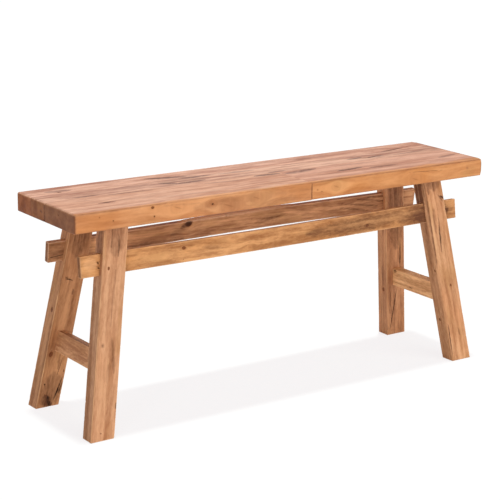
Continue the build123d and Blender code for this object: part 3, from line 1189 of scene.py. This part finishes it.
@dataclass
class EndRails:
    """The low cross rails between the front and the rear leg of each end."""

    height: float = 42.5
    thickness: float = 18.0
    levels: dict[int, float] = field(default_factory=lambda: {-1: 142.6, 1: 148.6})
    tenon_thickness: float = 9.0
    tenon_shoulder: float = 5.0
    tenon_depth: float = 20.0
    root: float = 6.0
    first_seed: int = 71

    def setting(self, legs: SplayedLegs, end: int) -> Matrix:
        """A rail's section leans lengthwise as the legs do."""
        middle = legs.middle(end, 1, self.levels[end])
        up = legs.axes(end, 1)[0]
        lean = Vector((up.x, 0.0, up.z)).normalized()
        along = Vector((0, 1, 0))
        return framed(Vector((middle.x, 0.0, middle.z)), along, lean, along.cross(lean))

    def inner_face(self, legs: SplayedLegs, end: int) -> float:
        """How far from the bench's middle a leg's inner face lies at the rail's middle."""
        up = legs.axes(1, 1)[0]
        lean = Vector((0.0, up.y, up.z)).normalized()
        return legs.middle(1, 1, self.levels[end]).y - legs.thickness / 2 / lean.z

    def rails(self, legs: SplayedLegs) -> list[Timber]:
        """The two rails as timbers, longer than they end up."""
        reach, across, through = legs.foot[1], self.height / 2, self.thickness / 2
        made = []
        for number, (name, end) in enumerate(legs.ends.items()):
            made.append(
                Timber(
                    f"end_rail_{name}", "rail_timber", (-reach, -across, -through), (reach, across, through),
                    self.setting(legs, end), RAIL_FINISHES[name], self.first_seed + number,
                    arris=Arris(1.1, 1.0, 1.4), blemishes=marked(RAIL_MARKS[name]), wave=0.25,
                    pitch=(2.7, 2.7, 2.7),
                )
            )
        return made

    def cut_shoulders(self, piece: bpy.types.Object, legs: SplayedLegs, end: int) -> None:
        """Cuts both ends of a rail to the legs' slanting inner faces."""
        bm = bmesh.new()
        bm.from_mesh(piece.data)
        for side in legs.sides.values():
            through = legs.axes(end, side)[2]
            point = (legs.middle(end, side, self.levels[end]) - through * side * legs.thickness / 2) * MM
            everything = bm.verts[:] + bm.edges[:] + bm.faces[:]
            bmesh.ops.bisect_plane(
                bm, geom=everything, dist=1e-7, plane_co=point, plane_no=through * side, clear_outer=True
            )
            rim = [edge for edge in bm.edges if edge.is_boundary]
            bmesh.ops.holes_fill(bm, edges=rim, sides=0)
        bm.to_mesh(piece.data)
        bm.free()

    def tenon_bar(
        self, legs: SplayedLegs, end: int, clearance: float, gap: float, side: int
    ) -> bpy.types.Mesh:
        """The stub tenon at one end of a rail, rooted inside the rail, or with a clearance its mortise."""
        face = self.inner_face(legs, end)
        inner, outer = face - self.root, face + self.tenon_depth + gap
        run = (inner, outer) if side > 0 else (-outer, -inner)
        across = self.height / 2 - self.tenon_shoulder + clearance
        through = self.tenon_thickness / 2 + clearance
        return cutter((run[0], -across, -through), (run[1], across, through), self.setting(legs, end))


# A leg's places are measured up its slant. A stretcher's front is its high face, a rail's left its low face.
SEAT_MARKS: dict[str, Rows] = {
    "seat_board_rear": {
        Side.HIGH_FACE: {
            Mark.CRACK: [
                (376, 63, 438, 72, 1.8, 2.4), (438, 72, 481, 88, 1, 1.5, 0.7),
                (-502.6, 60, -502.6, 112, 1, 0.15, 0.42),
            ],
            Mark.STAIN: [
                (366, 61.5, 440, 73, 5.9, 0.67), (-464, 84, -408, 79, 10.4, 0.78),
                (-234, 89, -146, 66, 9.1, 1), (-215, 76, -120, 66, 15, 0.34),
                (120, 84, 230, 90, 5.2, 0.34),
            ],
            Mark.KNOT: [(-438, 72, 4, 0.8, 0.8)],
            Mark.HOLE: [(205, 96, 1.6, 2.5)],
        },
        Side.HIGH_EDGE: {
            Mark.CRACK: [(-330, -4, -215, 1, 0.9, 1.8)],
            Mark.KNOT: [(150, 3, 6, 0.9, 0.9)],
            Mark.HOLE: [(-60, 6, 1.9, 3)],
        },
        Side.LOW_FACE: {Mark.CRACK: [(-120, 92, 90, 88, 1, 2)], Mark.KNOT: [(260, 80, 8, 1, 0.9)]},
    },
    "seat_board_middle": {
        Side.HIGH_FACE: {
            Mark.STAIN: [
                (-170, 58, -96, 54, 7.2, 1), (-166, 53, -126, 49, 3.9, 0.9), (-228, 38, -196, 19, 8.5, 1),
                (-202, 17, -128, 22, 8.5, 1), (-225, 42, -110, 38, 16, 0.3), (-74, 53, 10, 47, 7.8, 0.56),
                (20, 8, 64, 9, 6.5, 0.73), (246, 29, 292, 38, 9.1, 0.84), (298, 24, 348, 31, 7.8, 0.9),
                (-442, 13, -382, 11.5, 5.2, 0.67), (365, 18, 470, 30, 5.2, 0.39),
                (-330, 44, -250, 40, 5.2, 0.34),
            ],
            Mark.CRACK: [
                (-214, 24, -160, 16, 0.8, 1.2, 0.6), (268, 24, 322, 26, 0.8, 1.2, 0.7),
                (-502.6, 4, -502.6, 60, 1, 0.15, 0.42),
            ],
            Mark.KNOT: [(297, 31, 9, 0.5, 0.46)],
        },
        Side.LOW_END: {
            Mark.HOLE: [(18, -1, 1.4, 2), (5, -17, 3.2, 2)],
            Mark.STAIN: [
                (12, -2, 24, 2, 2.5, 0.9), (5, -18, 5, 18, 2.4, 0.8), (59.2, -18, 59.2, 18, 2, 0.85),
            ],
        },
        Side.LOW_FACE: {Mark.KNOT: [(-230, 34, 7, 1, 0.9)], Mark.HOLE: [(130, 30, 2, 3)]},
    },
    "seat_board_front_left": {
        Side.LOW_EDGE: {
            Mark.KNOT: [
                (-338, 12.8, 3, 1.3, 0.9), (-201, 2.6, 9, 0.4, 0.52), (-282, 6, 13, 0.1, 0.42),
                (-164, -4, 15, 0.1, 0.42), (-96, 3, 12, 0.1, 0.36),
            ],
            Mark.HOLE: [
                (-334, -5, 1.4, 2.4), (-200, 3.2, 1.7, 2.8), (-454.5, 8.3, 1.5, 0.8, 0.5),
                (-424.5, -2.3, 1.4, 2, 0.9),
            ],
            Mark.STAIN: [
                (-240, 0, 60, 0, 30, 0.26), (-215, -10, -208, 9, 7, 0.25), (-320, 14, -230, 9, 2.4, 0.25),
            ],
            Mark.CRACK: [(40.4, -17.6, 40.4, 16, 0.8, 0.8, 0.5)],
        },
        Side.HIGH_FACE: {
            Mark.STAIN: [
                (-419, -53, -384, -54.6, 4.2, 1), (-370, 2, -272, -5, 4.7, 0.62),
                (-26, -5, 38, -9, 9.1, 0.95), (-150, -12, -50, -22, 5.9, 0.39),
                (-300, -70, -160, -78, 5.2, 0.28),
            ],
            Mark.CRACK: [(-412, -53.4, -388, -54.4, 0.9, 1.3), (-502.6, -110, -502.6, 4, 1, 0.15, 0.42)],
            Mark.HOLE: [(-120, -76, 1.2, 2)],
        },
        Side.LOW_FACE: {Mark.CRACK: [(-420, -40, -300, -46, 1, 2)], Mark.KNOT: [(-120, -70, 9, 1, 0.9)]},
        Side.LOW_END: {
            Mark.HOLE: [(-52, 6, 1.3, 2)],
            Mark.STAIN: [(-108, 0, -8, 0, 24, 0.26), (3, -18, 3, 18, 2.6, 0.9)],
            Mark.CRACK: [(3.3, -18, 3.3, 18, 1.2, 1, 0.95)],
        },
    },
    "seat_board_front_right": {
        Side.HIGH_FACE: {
            Mark.STAIN: [
                (44, -20, 130, -8, 11.7, 0.9), (154, -55, 226, -47, 9.1, 0.84),
                (234, -62, 312, -63, 7.2, 0.67), (180, -12, 290, -14, 5.2, 0.39),
                (434, -55, 491, -44, 7.8, 0.56),
            ],
            Mark.KNOT: [(86, -18, 5, 0.7, 0.7)],
            Mark.CRACK: [(176, -54, 214, -49.5, 0.9, 1.3, 0.8)],
        },
        Side.LOW_EDGE: {
            Mark.STAIN: [(41.8, -18, 41.8, 18, 1, 0.9), (464, 3, 464, 3, 4, 0.5)],
            Mark.KNOT: [(56, 1.5, 2.2, 0.5, 0.6), (104, 3, 10, 0.1, 0.42), (318, -6, 13, 0.1, 0.38)],
            Mark.HOLE: [(67, -3, 1.1, 1.6, 0.7)],
            Mark.CRACK: [(505.2, -15, 505.2, 15, 1.4, 0.2, 0.55), (300, 11, 395, 6, 0.6, 0.9, 0.6)],
        },
        Side.HIGH_END: {Mark.HOLE: [(-60, 4, 1.6, 2.6)], Mark.CRACK: [(-30, -8, -34, 10, 0.8, 1.6)]},
        Side.LOW_FACE: {Mark.KNOT: [(300, -60, 7, 1, 0.9)]},
    },
}
LEG_MARKS: dict[str, Rows] = {
    "front_left": {
        Side.LOW_FACE: {
            Mark.KNOT: [(332, -11.6, 2.6, 1)],
            Mark.STAIN: [
                # The first mark, over the top of the face, is painted shade under the seat.
                (416, 0, 360, 0, 30, 0.35), (187, -13, 179, -13.2, 2.6, 0.9), (200, 5, 130, 15, 5, 0.4),
                (150, 4, 110, 0, 6, 0.25), (414, -10, 372, -9, 3, 0.8), (400, 5, 352, 8, 2.6, 0.7),
                (330, 4, 220, 1, 2, 0.35),
            ],
            Mark.HOLE: [(12.4, -4.7, 1.3, 1.8)],
            Mark.TEAR: [(72, 24, 60, 24.4, 1.8, 1.4, 0.6)],
            Mark.CRACK: [(396, 7, 360, 9, 0.8, 1.2)],
        },
        # The mark over the top of the left face is painted shade under the seat.
        Side.LOW_EDGE: {Mark.STAIN: [(416, 0, 346, 0, 20, 0.7)]},
        Side.HIGH_FACE: {Mark.KNOT: [(260, 6, 6, 1)], Mark.CRACK: [(90, -6, 10, -9, 1.1, 2.4)]},
        Side.HIGH_EDGE: {Mark.CRACK: [(330, 3, 250, 5, 0.8, 1.6)], Mark.HOLE: [(60, -5, 1.7, 3)]},
    },
    "rear_left": {
        Side.LOW_FACE: {
            Mark.KNOT: [(118, -15.4, 4.6, 1)],
            Mark.STAIN: [
                # The first mark, over the top of the face, is painted shade under the seat.
                (416, 0, 330, 0, 30, 0.6), (76, 0, 0, 0, 30, 0.6), (28, -12, 6, -2, 16, 1),
                (14, 0, 4, 8, 8, 1), (30, -22, 14, 16, 7, 0.45), (120, 6, 84, 8, 3.6, 0.6),
                (284, -17, 276, 2, 2, 0.8), (258, 6.3, 247, 6, 2.4, 0.9), (400, -8, 340, -16, 2.4, 0.6),
            ],
            Mark.TEAR: [
                (26, -4, 2, 5, 6, 1.6), (84, 21.5, 78, 22.5, 1.6, 2), (68, 22, 22, 14, 2.6, 1.8),
                (56, 24, 30, 20, 2.2, 1.6), (46, 17, 16, 11, 2, 1.6),
            ],
            Mark.HOLE: [(51.8, -16.5, 2, 2.2)],
            Mark.CRACK: [(110, 14, 70, 8, 0.7, 1.2), (280, -16, 277, 1, 0.9, 1.4)],
        },
        Side.LOW_EDGE: {Mark.STAIN: [(400, 4, 330, 6, 3, 0.4)], Mark.KNOT: [(210, -4, 4, 0.9)]},
        Side.HIGH_FACE: {Mark.CRACK: [(300, 4, 190, 8, 1, 2.2)], Mark.HOLE: [(80, -10, 1.8, 3)]},
    },
    "rear_right": {
        Side.LOW_EDGE: {Mark.KNOT: [(122, -3.2, 4, 1.3)], Mark.STAIN: [(180, 2, 130, -2, 4, 0.55)]},
        Side.LOW_FACE: {
            Mark.CRACK: [
                (123, 3.9, 17, -18, 1.3, 2.2), (232, 14, 172, 13, 1.2, 2), (118, -15, 60, -18, 0.7, 1.2),
            ],
            # The wide mark from the top down is painted shade under the seat.
            Mark.STAIN: [(246, 13, 176, 12, 4.5, 0.6), (430, 0, 226, 2, 30, 0.62)],
        },
        Side.HIGH_FACE: {Mark.KNOT: [(320, -6, 7, 1)]},
        Side.HIGH_EDGE: {Mark.CRACK: [(140, 2, 60, 4, 0.8, 1.8)], Mark.HOLE: [(300, -4, 1.7, 3)]},
    },
    "front_right": {
        Side.LOW_FACE: {
            Mark.CRACK: [(312, 0, 262, -3, 1.2, 1.8), (84, -21, 12, -22.6, 0.8, 1.4)],
            Mark.STAIN: [
                # The stains at 414 and 420 are painted shade under the seat; the one along -26 paints shade
                # on the worn arris.
                (330, 2, 250, -4, 3.2, 0.6), (376, 12, 360, 22, 3, 0.6), (90.7, -20.5, 14, -23, 1.6, 0.9),
                (70, 6, 52, 8, 2.6, 0.5), (414, -16, 386, -14, 5, 0.7), (420, 0, 392, 2, 26, 0.55),
                (352, -8, 300, -12, 6, 0.4), (470, -26, 220, -26, 9, 0.8), (374, 16, 366, 26, 4, 0.9),
            ],
            Mark.TEAR: [(372, 21, 364, 24.5, 1.8, 1.4, 0.7)],
            Mark.KNOT: [(171.5, 5.2, 2.4, 1.1)],
            # A rubbed ridge on the worn arris, paler with a painted highlight.
            Mark.RUB: [(384, -15.5, 240, -19.5, 3.4, 0.85)],
        },
        Side.LOW_EDGE: {
            Mark.KNOT: [(213, -8, 2.4, 1.1), (98, 3.5, 2.8, 1.1)],
            # Dirt and painted shade on the left face, under the seat and by the stretcher.
            Mark.STAIN: [(440, 0, 350, 0, 24, 1), (440, 0, 230, 0, 24, 0.42)],
        },
        Side.HIGH_EDGE: {Mark.CRACK: [(280, 2, 120, 6, 0.9, 2)], Mark.KNOT: [(70, -3, 4.5, 1)]},
        Side.HIGH_FACE: {Mark.CRACK: [(360, -8, 300, -4, 1, 2)], Mark.HOLE: [(150, 8, 1.8, 3)]},
    },
}
STRETCHER_MARKS: dict[str, Rows] = {
    "front": {
        Side.HIGH_FACE: {
            Mark.KNOT: [
                (-242, 8.6, 3.2, 1.3), (-124, 14, 4.5, 0.6, 0.46), (-84, -12, 5, 0.5, 0.44),
                (124, 13, 2.4, 0.6, 0.6),
            ],
            Mark.HOLE: [(-245, -15, 1.2, 1, 0.6), (381, -18, 1.6, 1.6)],
            Mark.STAIN: [
                # The wide stains from 60 out to the right stub are painted shade, darkening the front towards
                # the right leg.
                (-200, 4, -150, -4, 5, 0.3), (60, -4, 360, 6, 22, 0.62), (140, 3, 190, 0, 5, 0.6),
                (215, -12, 245, -14, 4, 0.6), (296, 0, 444, 0, 34, 0.55), (328, 2, 444, -2, 36, 0.8),
                (350, -2, 444, 2, 38, 1), (364, -6, 392, -14, 5, 0.6), (372, -18, 395, -19, 3, 0.9),
                (430, 0, 460, 0, 20, 0.3),
            ],
            Mark.TEAR: [(-438, 6.6, -434.6, 2.4, 3, 3), (-437.4, -3.6, -434, -7.4, 3, 3)],
            # The left stub is painted paler, rubbed and with a painted highlight.
            Mark.RUB: [(-468, 4, -440, 2, 16, 0.6)],
        },
        Side.LOW_FACE: {
            Mark.CRACK: [(-180, 4, 20, 8, 0.9, 1.4)],
            Mark.KNOT: [(-242, 8, 3.6, 1), (220, -6, 4.6, 1, 0.8)],
        },
        Side.HIGH_EDGE: {Mark.CRACK: [(60, 0.5, 150, -0.5, 0.6, 1.2)]},
    },
    "rear": {
        Side.HIGH_FACE: {
            Mark.KNOT: [(-141, 14.5, 6.6, 1.5), (-47, 19, 2.6, 0.6, 0.6)],
            Mark.HOLE: [(-141, 15, 7.5, 0.5, 0.7), (19.5, 3.3, 1.3, 1, 0.6)],
            Mark.STAIN: [
                (-160, 8, -132, 18, 9, 0.9), (-184, -6, -146, 8, 9, 0.3), (-292, -14, -150, -18, 5, 0.6),
                (28, -8, 106, 4, 10, 0.42), (54, -4, 94, 2, 6.5, 0.64), (262, 9, 366, -7, 2.8, 0.75),
                (300, 16, 384, 3, 3, 0.85), (250, 1, 340, -15, 2.6, 0.6), (330, 18, 390, 13, 3, 0.8),
                (404, 8, 420, -12, 9, 0.8), (-480, 4, -426, 0, 24, 0.7),
            ],
            Mark.CRACK: [(-466, -11, -430, -8, 1.1, 1.6, 0.8)],
            # Painted light along the top of the front face, where the seat's shade falls.
            Mark.RUB: [(-160, 20.4, 90, 20.8, 3, 1)],
        },
        Side.HIGH_EDGE: {
            Mark.HUMP: [(-160, 0, 130, 0, 15, 2.5)],
            # Painted light along the top edge, where the seat's shade falls.
            Mark.RUB: [(-165, 2, 95, 2, 8, 0.95)],
            Mark.TEAR: [(-150, 5.4, -60, 5.6, 1.6, 0.8, 0.2)],
        },
        Side.LOW_FACE: {
            Mark.CRACK: [(40, 6, 260, 2, 1, 1.6)],
            Mark.KNOT: [(-141, 14, 5, 1.2)],
            Mark.HOLE: [(-300, -6, 1.7, 2.4)],
        },
    },
}
RAIL_MARKS: dict[str, Rows] = {
    "left": {
        Side.LOW_FACE: {Mark.STAIN: [(72, 12, 40, 14, 3, 0.3)]},
        Side.HIGH_FACE: {Mark.CRACK: [(-50, 4, 20, 8, 0.8, 1.6)], Mark.KNOT: [(44, -6, 5, 1)]},
        Side.HIGH_EDGE: {Mark.TEAR: [(-30, 5, 10, 7, 1.6, 1, 0.4)]},
    },
    "right": {
        Side.LOW_FACE: {
            Mark.STAIN: [(62, 17, 74, 14, 4, 0.7), (22, -10, 10, -13, 2.4, 0.5)],
            Mark.TEAR: [(64, 18, 76, 18, 2.2, 1.6)],
            Mark.HOLE: [(18, -12, 1.3, 1.8)],
        },
        Side.HIGH_FACE: {Mark.KNOT: [(-30, 5, 4.5, 1)]},
        Side.HIGH_EDGE: {Mark.HOLE: [(-10, 2, 1.5, 2.4)]},
    },
}
# Each board's worn colours paint its top paler and pinker: a worn finish with a painted sheen.
SEAT_FINISHES = {
    "seat_board_rear": SeatFinish(
        "Rear seat board", (208, 138, 94), (150, 86, 52), (200, 122, 76), (30.0, -60.0), (0.01, 0.03), 6.0,
        0.2, 0.32, 0.45, worn=((211, 163, 138), (157, 104, 82)), offset=(310.0, 40.0, 12.0),
    ),
    "seat_board_middle": SeatFinish(
        "Middle seat board", (200, 138, 92), (146, 88, 54), (192, 124, 76), (20.0, -48.0), (-0.015, 0.025),
        5.5, 0.2, 0.32, 0.45, worn=((212, 166, 140), (156, 107, 86)), offset=(-920.0, 75.0, -33.0),
    ),
    "seat_board_front_left": SeatFinish(
        "Front seat board, left", (208, 148, 100), (160, 98, 56), (198, 130, 76), (-70.0, -42.0),
        (0.012, -0.03), 6.5, 0.26, 0.3, 0.35, worn=((210, 162, 134), (173, 120, 94)),
        offset=(120.0, 0.0, 5.0),
    ),
    "seat_board_front_right": SeatFinish(
        "Front seat board, right", (208, 147, 95), (158, 94, 50), (200, 132, 74), (-60.0, -50.0),
        (-0.02, 0.02), 6.0, 0.24, 0.3, 0.35, worn=((204, 153, 127), (166, 114, 90)),
        offset=(1730.0, 21.0, 40.0),
    ),
}
LEG_FINISHES = {
    "front_left": LegFinish(
        "Front left leg", (200, 150, 112), (150, 98, 65), (190, 136, 97), (14.0, 60.0), (0.02, 0.01), 6.0,
        0.13, 0.25,
    ),
    "front_right": LegFinish(
        "Front right leg", (204, 153, 112), (150, 98, 62), (196, 136, 94), (6.0, 44.0), (-0.02, 0.02), 6.5,
        0.13, 0.25, offset=(555.0, 13.0, 8.0),
    ),
    "rear_left": LegFinish(
        "Rear left leg", (190, 136, 94), (134, 86, 54), (180, 122, 80), (-10.0, 50.0), (0.03, 0.02), 6.0,
        0.16, 0.29, offset=(-750.0, 31.0, 27.0),
    ),
    "rear_right": LegFinish(
        "Rear right leg", (198, 142, 101), (138, 89, 60), (190, 129, 84), (18.0, 40.0), (0.02, -0.03), 6.0,
        0.2, 0.3, offset=(1240.0, -9.0, 51.0),
    ),
}
STRETCHER_FINISHES = {
    "front": TimberFinish(
        "Front stretcher", (204, 149, 98), (148, 96, 56), (194, 134, 80), (-30.0, 34.0), (0.02, 0.01), 8.0,
        0.18, 0.18, figure=0.34, mottle=0.22, fine=0.7, offset=(77.0, 3.0, 0.0),
    ),
    # The rear stretcher's paler colour for rubbed places paints light on its shaded top edge.
    "rear": TimberFinish(
        "Rear stretcher", (206, 152, 108), (140, 92, 62), (196, 136, 92), (26.0, 30.0), (0.06, -0.01), 6.0,
        0.38, 0.26, figure=0.32, mottle=0.12, fine=0.6, streak_across=0.09, rub=(240, 198, 164),
        offset=(-430.0, 9.0, 66.0),
    ),
}
RAIL_FINISHES = {
    "left": TimberFinish(
        "Left end rail", (203, 150, 108), (148, 98, 66), (192, 134, 90), (10.0, 34.0), (0.0, 0.02), 6.0, 0.2,
        0.3, fine=0.7, offset=(40.0, -30.0, 14.0),
    ),
    # The right rail's paler colours are painted light, making up for the shade it stands in.
    "right": TimberFinish(
        "Right end rail", (232, 180, 130), (176, 124, 82), (224, 162, 110), (-12.0, 36.0), (0.01, 0.02), 6.0,
        0.25, 0.5, offset=(-260.0, 5.0, -40.0),
    ),
}


@dataclass(frozen=True)
class DowelFinish:
    """Plain hardwood for the dowels inside the seat, which keep their CAD shape."""

    name: str
    along: int
    pale: Triple = (206.0, 172.0, 124.0)
    deep: Triple = (158.0, 118.0, 74.0)
    along_grain: float = 40.0
    across_grain: float = 900.0

    def material(self) -> bpy.types.Material:
        """Builds the node material on object coordinates."""
        sheet = Sheet(bpy.data.materials.new(self.name))
        place = sheet.node("TexCoord").outputs["Object"]
        fine = [self.across_grain] * 3
        fine[self.along] = self.along_grain
        fibre = sheet.noise(place, tuple(fine), 3.0, 0.6).outputs["Fac"]
        colour = sheet.mixed(sheet.span(fibre, 0.3, 0.7), srgb(self.pale), srgb(self.deep))
        relief = sheet.node("Bump", {"Strength": 0.3, "Distance": 0.0002, "Height": fibre}).outputs[0]
        rough = sheet.span(fibre, 0.3, 0.7, 0.6, 0.75)
        shader = sheet.node("BsdfPrincipled", {"Base Color": colour, "Roughness": rough, "Normal": relief})
        return sheet.finish(shader.outputs[0])


@dataclass
class SeatDowels:
    """The dowels in the seat's seams."""

    diameter: float = 8.0
    length: float = 40.0
    facets: int = 24
    front_seam: int = 5
    rear_seam: int = 4
    butt_places: Pair = (0.25, 0.68)

    def dress(self, nodes: dict[str, bpy.types.Object]) -> None:
        """Gives the CAD nodes their material."""
        for name, along in (("seam_dowels_front", 1), ("seam_dowels_rear", 1), ("butt_dowels", 0)):
            node = nodes[name]
            node.data.materials.clear()
            node.data.materials.append(DowelFinish(name.replace("_", " "), along).material())
            LOG.info("dressed %s", name)

    def holes(self, seat: PlankSeat, legs: SplayedLegs) -> dict[str, list[tuple[Vector, Vector]]]:
        """The middle and direction of each hole, by the seam that it crosses."""
        level = seat.height - seat.thickness / 2
        pitch = legs.top[0] * 2 / (self.front_seam + 1)
        made: dict[str, list[tuple[Vector, Vector]]] = {}
        seams = (("front", self.front_seam, seat.seam_front), ("rear", self.rear_seam, seat.seam_rear))
        for name, count, seam in seams:
            places = [(index - (count - 1) / 2) * pitch for index in range(count)]
            made[name] = [(Vector((place, seam, level)), Vector((0, 1, 0))) for place in places]
        front = -seat.depth / 2
        places = [front + share * (seat.seam_front - front) for share in self.butt_places]
        made["butt"] = [(Vector((seat.butt, place, level)), Vector((1, 0, 0))) for place in places]
        return made

    def drill(self, holes: list[tuple[Vector, Vector]]) -> bpy.types.Mesh:
        """One mesh of round cutters for some holes."""
        bm = bmesh.new()
        radius = self.diameter / 2 + CLEARANCE
        for middle, way in holes:
            turn = way.to_track_quat("Z", "Y").to_matrix().to_4x4()
            bmesh.ops.create_cone(
                bm, cap_ends=True, segments=self.facets, radius1=radius, radius2=radius,
                depth=self.length + END_GAP * 2, matrix=Matrix.Translation(middle) @ turn,
            )
        mesh = bpy.data.meshes.new("drill")
        bmesh.ops.scale(bm, vec=(MM, MM, MM), verts=bm.verts)
        bm.to_mesh(mesh)
        bm.free()
        return mesh


@dataclass
class Studio:
    """The camera at the photograph's angle, plain soft light and a pale floor."""

    lens: float = 117.78
    place: Triple = (-1.92481, -2.71248, 1.15604)
    yaw: float = 0.6099
    pitch: float = 0.25542
    roll: float = 0.01276
    sensor: float = 36.0
    floor_size: float = 30.0
    ambient: float = 0.36
    white: Colour = (1.0, 1.0, 1.0, 1.0)
    floor_plain: Colour = (0.88, 0.87, 0.86, 1.0)
    floor_shaded: Colour = (0.172, 0.202, 0.191, 1.0)
    floor_glow: Colour = (0.826, 0.796, 0.807, 1.0)
    lamps: dict[str, tuple[Triple, float, float]] = field(
        default_factory=lambda: {
            "key": ((0.30, -0.87, 0.40), 1.45, 55.0),
            "fill": ((-0.78, -0.60, 0.14), 1.15, 18.0),
            "overhead": ((0.0, 0.03, 1.0), 2.05, 4.0),
        }
    )

    def camera(self) -> None:
        """Sets up the camera."""
        data = bpy.data.cameras.new("camera")
        data.lens, data.sensor_width, data.sensor_fit = self.lens, self.sensor, "AUTO"
        data.clip_start, data.clip_end = 0.1, 100.0
        level = math.cos(self.pitch)
        ahead = Vector((math.sin(self.yaw) * level, math.cos(self.yaw) * level, -math.sin(self.pitch)))
        right = Vector((math.cos(self.yaw), -math.sin(self.yaw), 0.0))
        above = right.cross(ahead)
        side = right * math.cos(self.roll) + above * math.sin(self.roll)
        upward = above * math.cos(self.roll) - right * math.sin(self.roll)
        camera = bpy.data.objects.new("camera", data)
        bpy.context.scene.collection.objects.link(camera)
        turn = Matrix((side, upward, -ahead)).transposed().to_4x4()
        camera.matrix_world = Matrix.Translation(self.place) @ turn
        bpy.context.scene.camera = camera

    def lamp(self, name: str, direction: Triple, power: float, spread: float) -> None:
        """A wide, soft sun that shines from a direction."""
        data = bpy.data.lights.new(name, "SUN")
        data.energy, data.angle = power, math.radians(spread)
        lamp = bpy.data.objects.new(name, data)
        bpy.context.scene.collection.objects.link(lamp)
        lamp.rotation_euler = Vector(direction).to_track_quat("Z", "Y").to_euler()

    def seen(self, sheet: Sheet) -> Socket:
        """1 for the rays that show the background, which are the camera's, glossy and transmission rays."""
        path = sheet.node("LightPath")
        first = sheet.reckon("MAXIMUM", path.outputs["Is Camera Ray"], path.outputs["Is Glossy Ray"])
        return sheet.reckon("MAXIMUM", first, path.outputs["Is Transmission Ray"])

    def surroundings(self) -> None:
        """The white world and its plain ambient light."""
        sheet = Sheet(bpy.data.worlds.new("studio"))
        plain = sheet.node("Background", {"Color": self.white, "Strength": self.ambient})
        shown = sheet.node("Background", {"Color": self.white, "Strength": 1.0})
        both = sheet.node("MixShader", {0: self.seen(sheet), 1: plain.outputs[0], 2: shown.outputs[0]})
        bpy.context.scene.world = sheet.finish(both.outputs[0], "OutputWorld")

    def floor(self) -> None:
        """The pale floor, which shows white but keeps the bench's soft shadow."""
        bm = bmesh.new()
        bmesh.ops.create_grid(bm, x_segments=1, y_segments=1, size=self.floor_size / 2)
        mesh = bpy.data.meshes.new("floor")
        bm.to_mesh(mesh)
        bm.free()
        sheet = Sheet(bpy.data.materials.new("Pale floor"))
        plain = sheet.node("BsdfDiffuse", {"Color": self.floor_plain})
        shaded = sheet.node("BsdfDiffuse", {"Color": self.floor_shaded})
        glow = sheet.node("Emission", {"Color": self.floor_glow, "Strength": 1.0})
        shown = sheet.node("AddShader", {0: shaded.outputs[0], 1: glow.outputs[0]})
        both = sheet.node("MixShader", {0: self.seen(sheet), 1: plain.outputs[0], 2: shown.outputs[0]})
        mesh.materials.append(sheet.finish(both.outputs[0]))
        floor = bpy.data.objects.new("floor", mesh)
        bpy.context.scene.collection.objects.link(floor)

    def build(self) -> None:
        """Sets up the whole studio."""
        self.camera()
        for name, (direction, power, spread) in self.lamps.items():
            self.lamp(name, direction, power, spread)
        self.surroundings()
        self.floor()
        bpy.context.scene.view_settings.view_transform = "Standard"


def place(timber: Timber) -> bpy.types.Object:
    """Raises a timber, puts it in its node's place on the root body, and logs it."""
    piece = timber.raise_piece()
    piece.name = timber.name + "_worn"
    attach(piece, "root")
    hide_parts(timber.name)
    LOG.info("%s: %d faces, %d marks", piece.name, len(piece.data.polygons), len(timber.blemishes))
    return piece


def main() -> None:
    """Builds the studio and every piece in order."""
    logging.basicConfig(level=logging.INFO, format="%(message)s")
    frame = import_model()
    Studio().build()
    seat, legs, stretchers = PlankSeat(), SplayedLegs(), LongStretchers()
    rails, dowels = EndRails(), SeatDowels()
    holes = dowels.holes(seat, legs)
    crossing = {
        "seat_board_rear": (["rear"], [("left", "rear"), ("right", "rear")]),
        "seat_board_middle": (["front", "rear"], [("left", "rear"), ("right", "rear")]),
        "seat_board_front_left": (["front", "butt"], [("left", "front")]),
        "seat_board_front_right": (["front", "butt"], [("right", "front")]),
    }
    for board in seat.boards():
        piece = place(board)
        seams, feet = crossing[board.name]
        for seam in seams:
            carve(piece, dowels.drill(holes[seam]))
        for end, side in feet:
            carve(piece, legs.tenon_block(legs.ends[end], legs.sides[side], CLEARANCE, END_GAP, MORTISE_ROOT))
    for leg in legs.legs():
        piece = place(leg)
        side_name, end_name = leg.name.split("_")[1:]
        side, end = legs.sides[side_name], legs.ends[end_name]
        carve(piece, legs.tenon_block(end, side, 0.0, 0.0, TENON_ROOT), "UNION")
        carve(piece, stretchers.mortise(legs, side_name, CLEARANCE))
        carve(piece, rails.tenon_bar(legs, end, CLEARANCE, END_GAP, side))
    for board in stretchers.boards(legs):
        place(board)
    for rail in rails.rails(legs):
        piece = place(rail)
        end = legs.ends[rail.name.split("_")[-1]]
        rails.cut_shoulders(piece, legs, end)
        for side in legs.sides.values():
            carve(piece, rails.tenon_bar(legs, end, 0.0, 0.0, side), "UNION")
    dowels.dress(frame["nodes"])


if __name__ == "__main__":
    main()
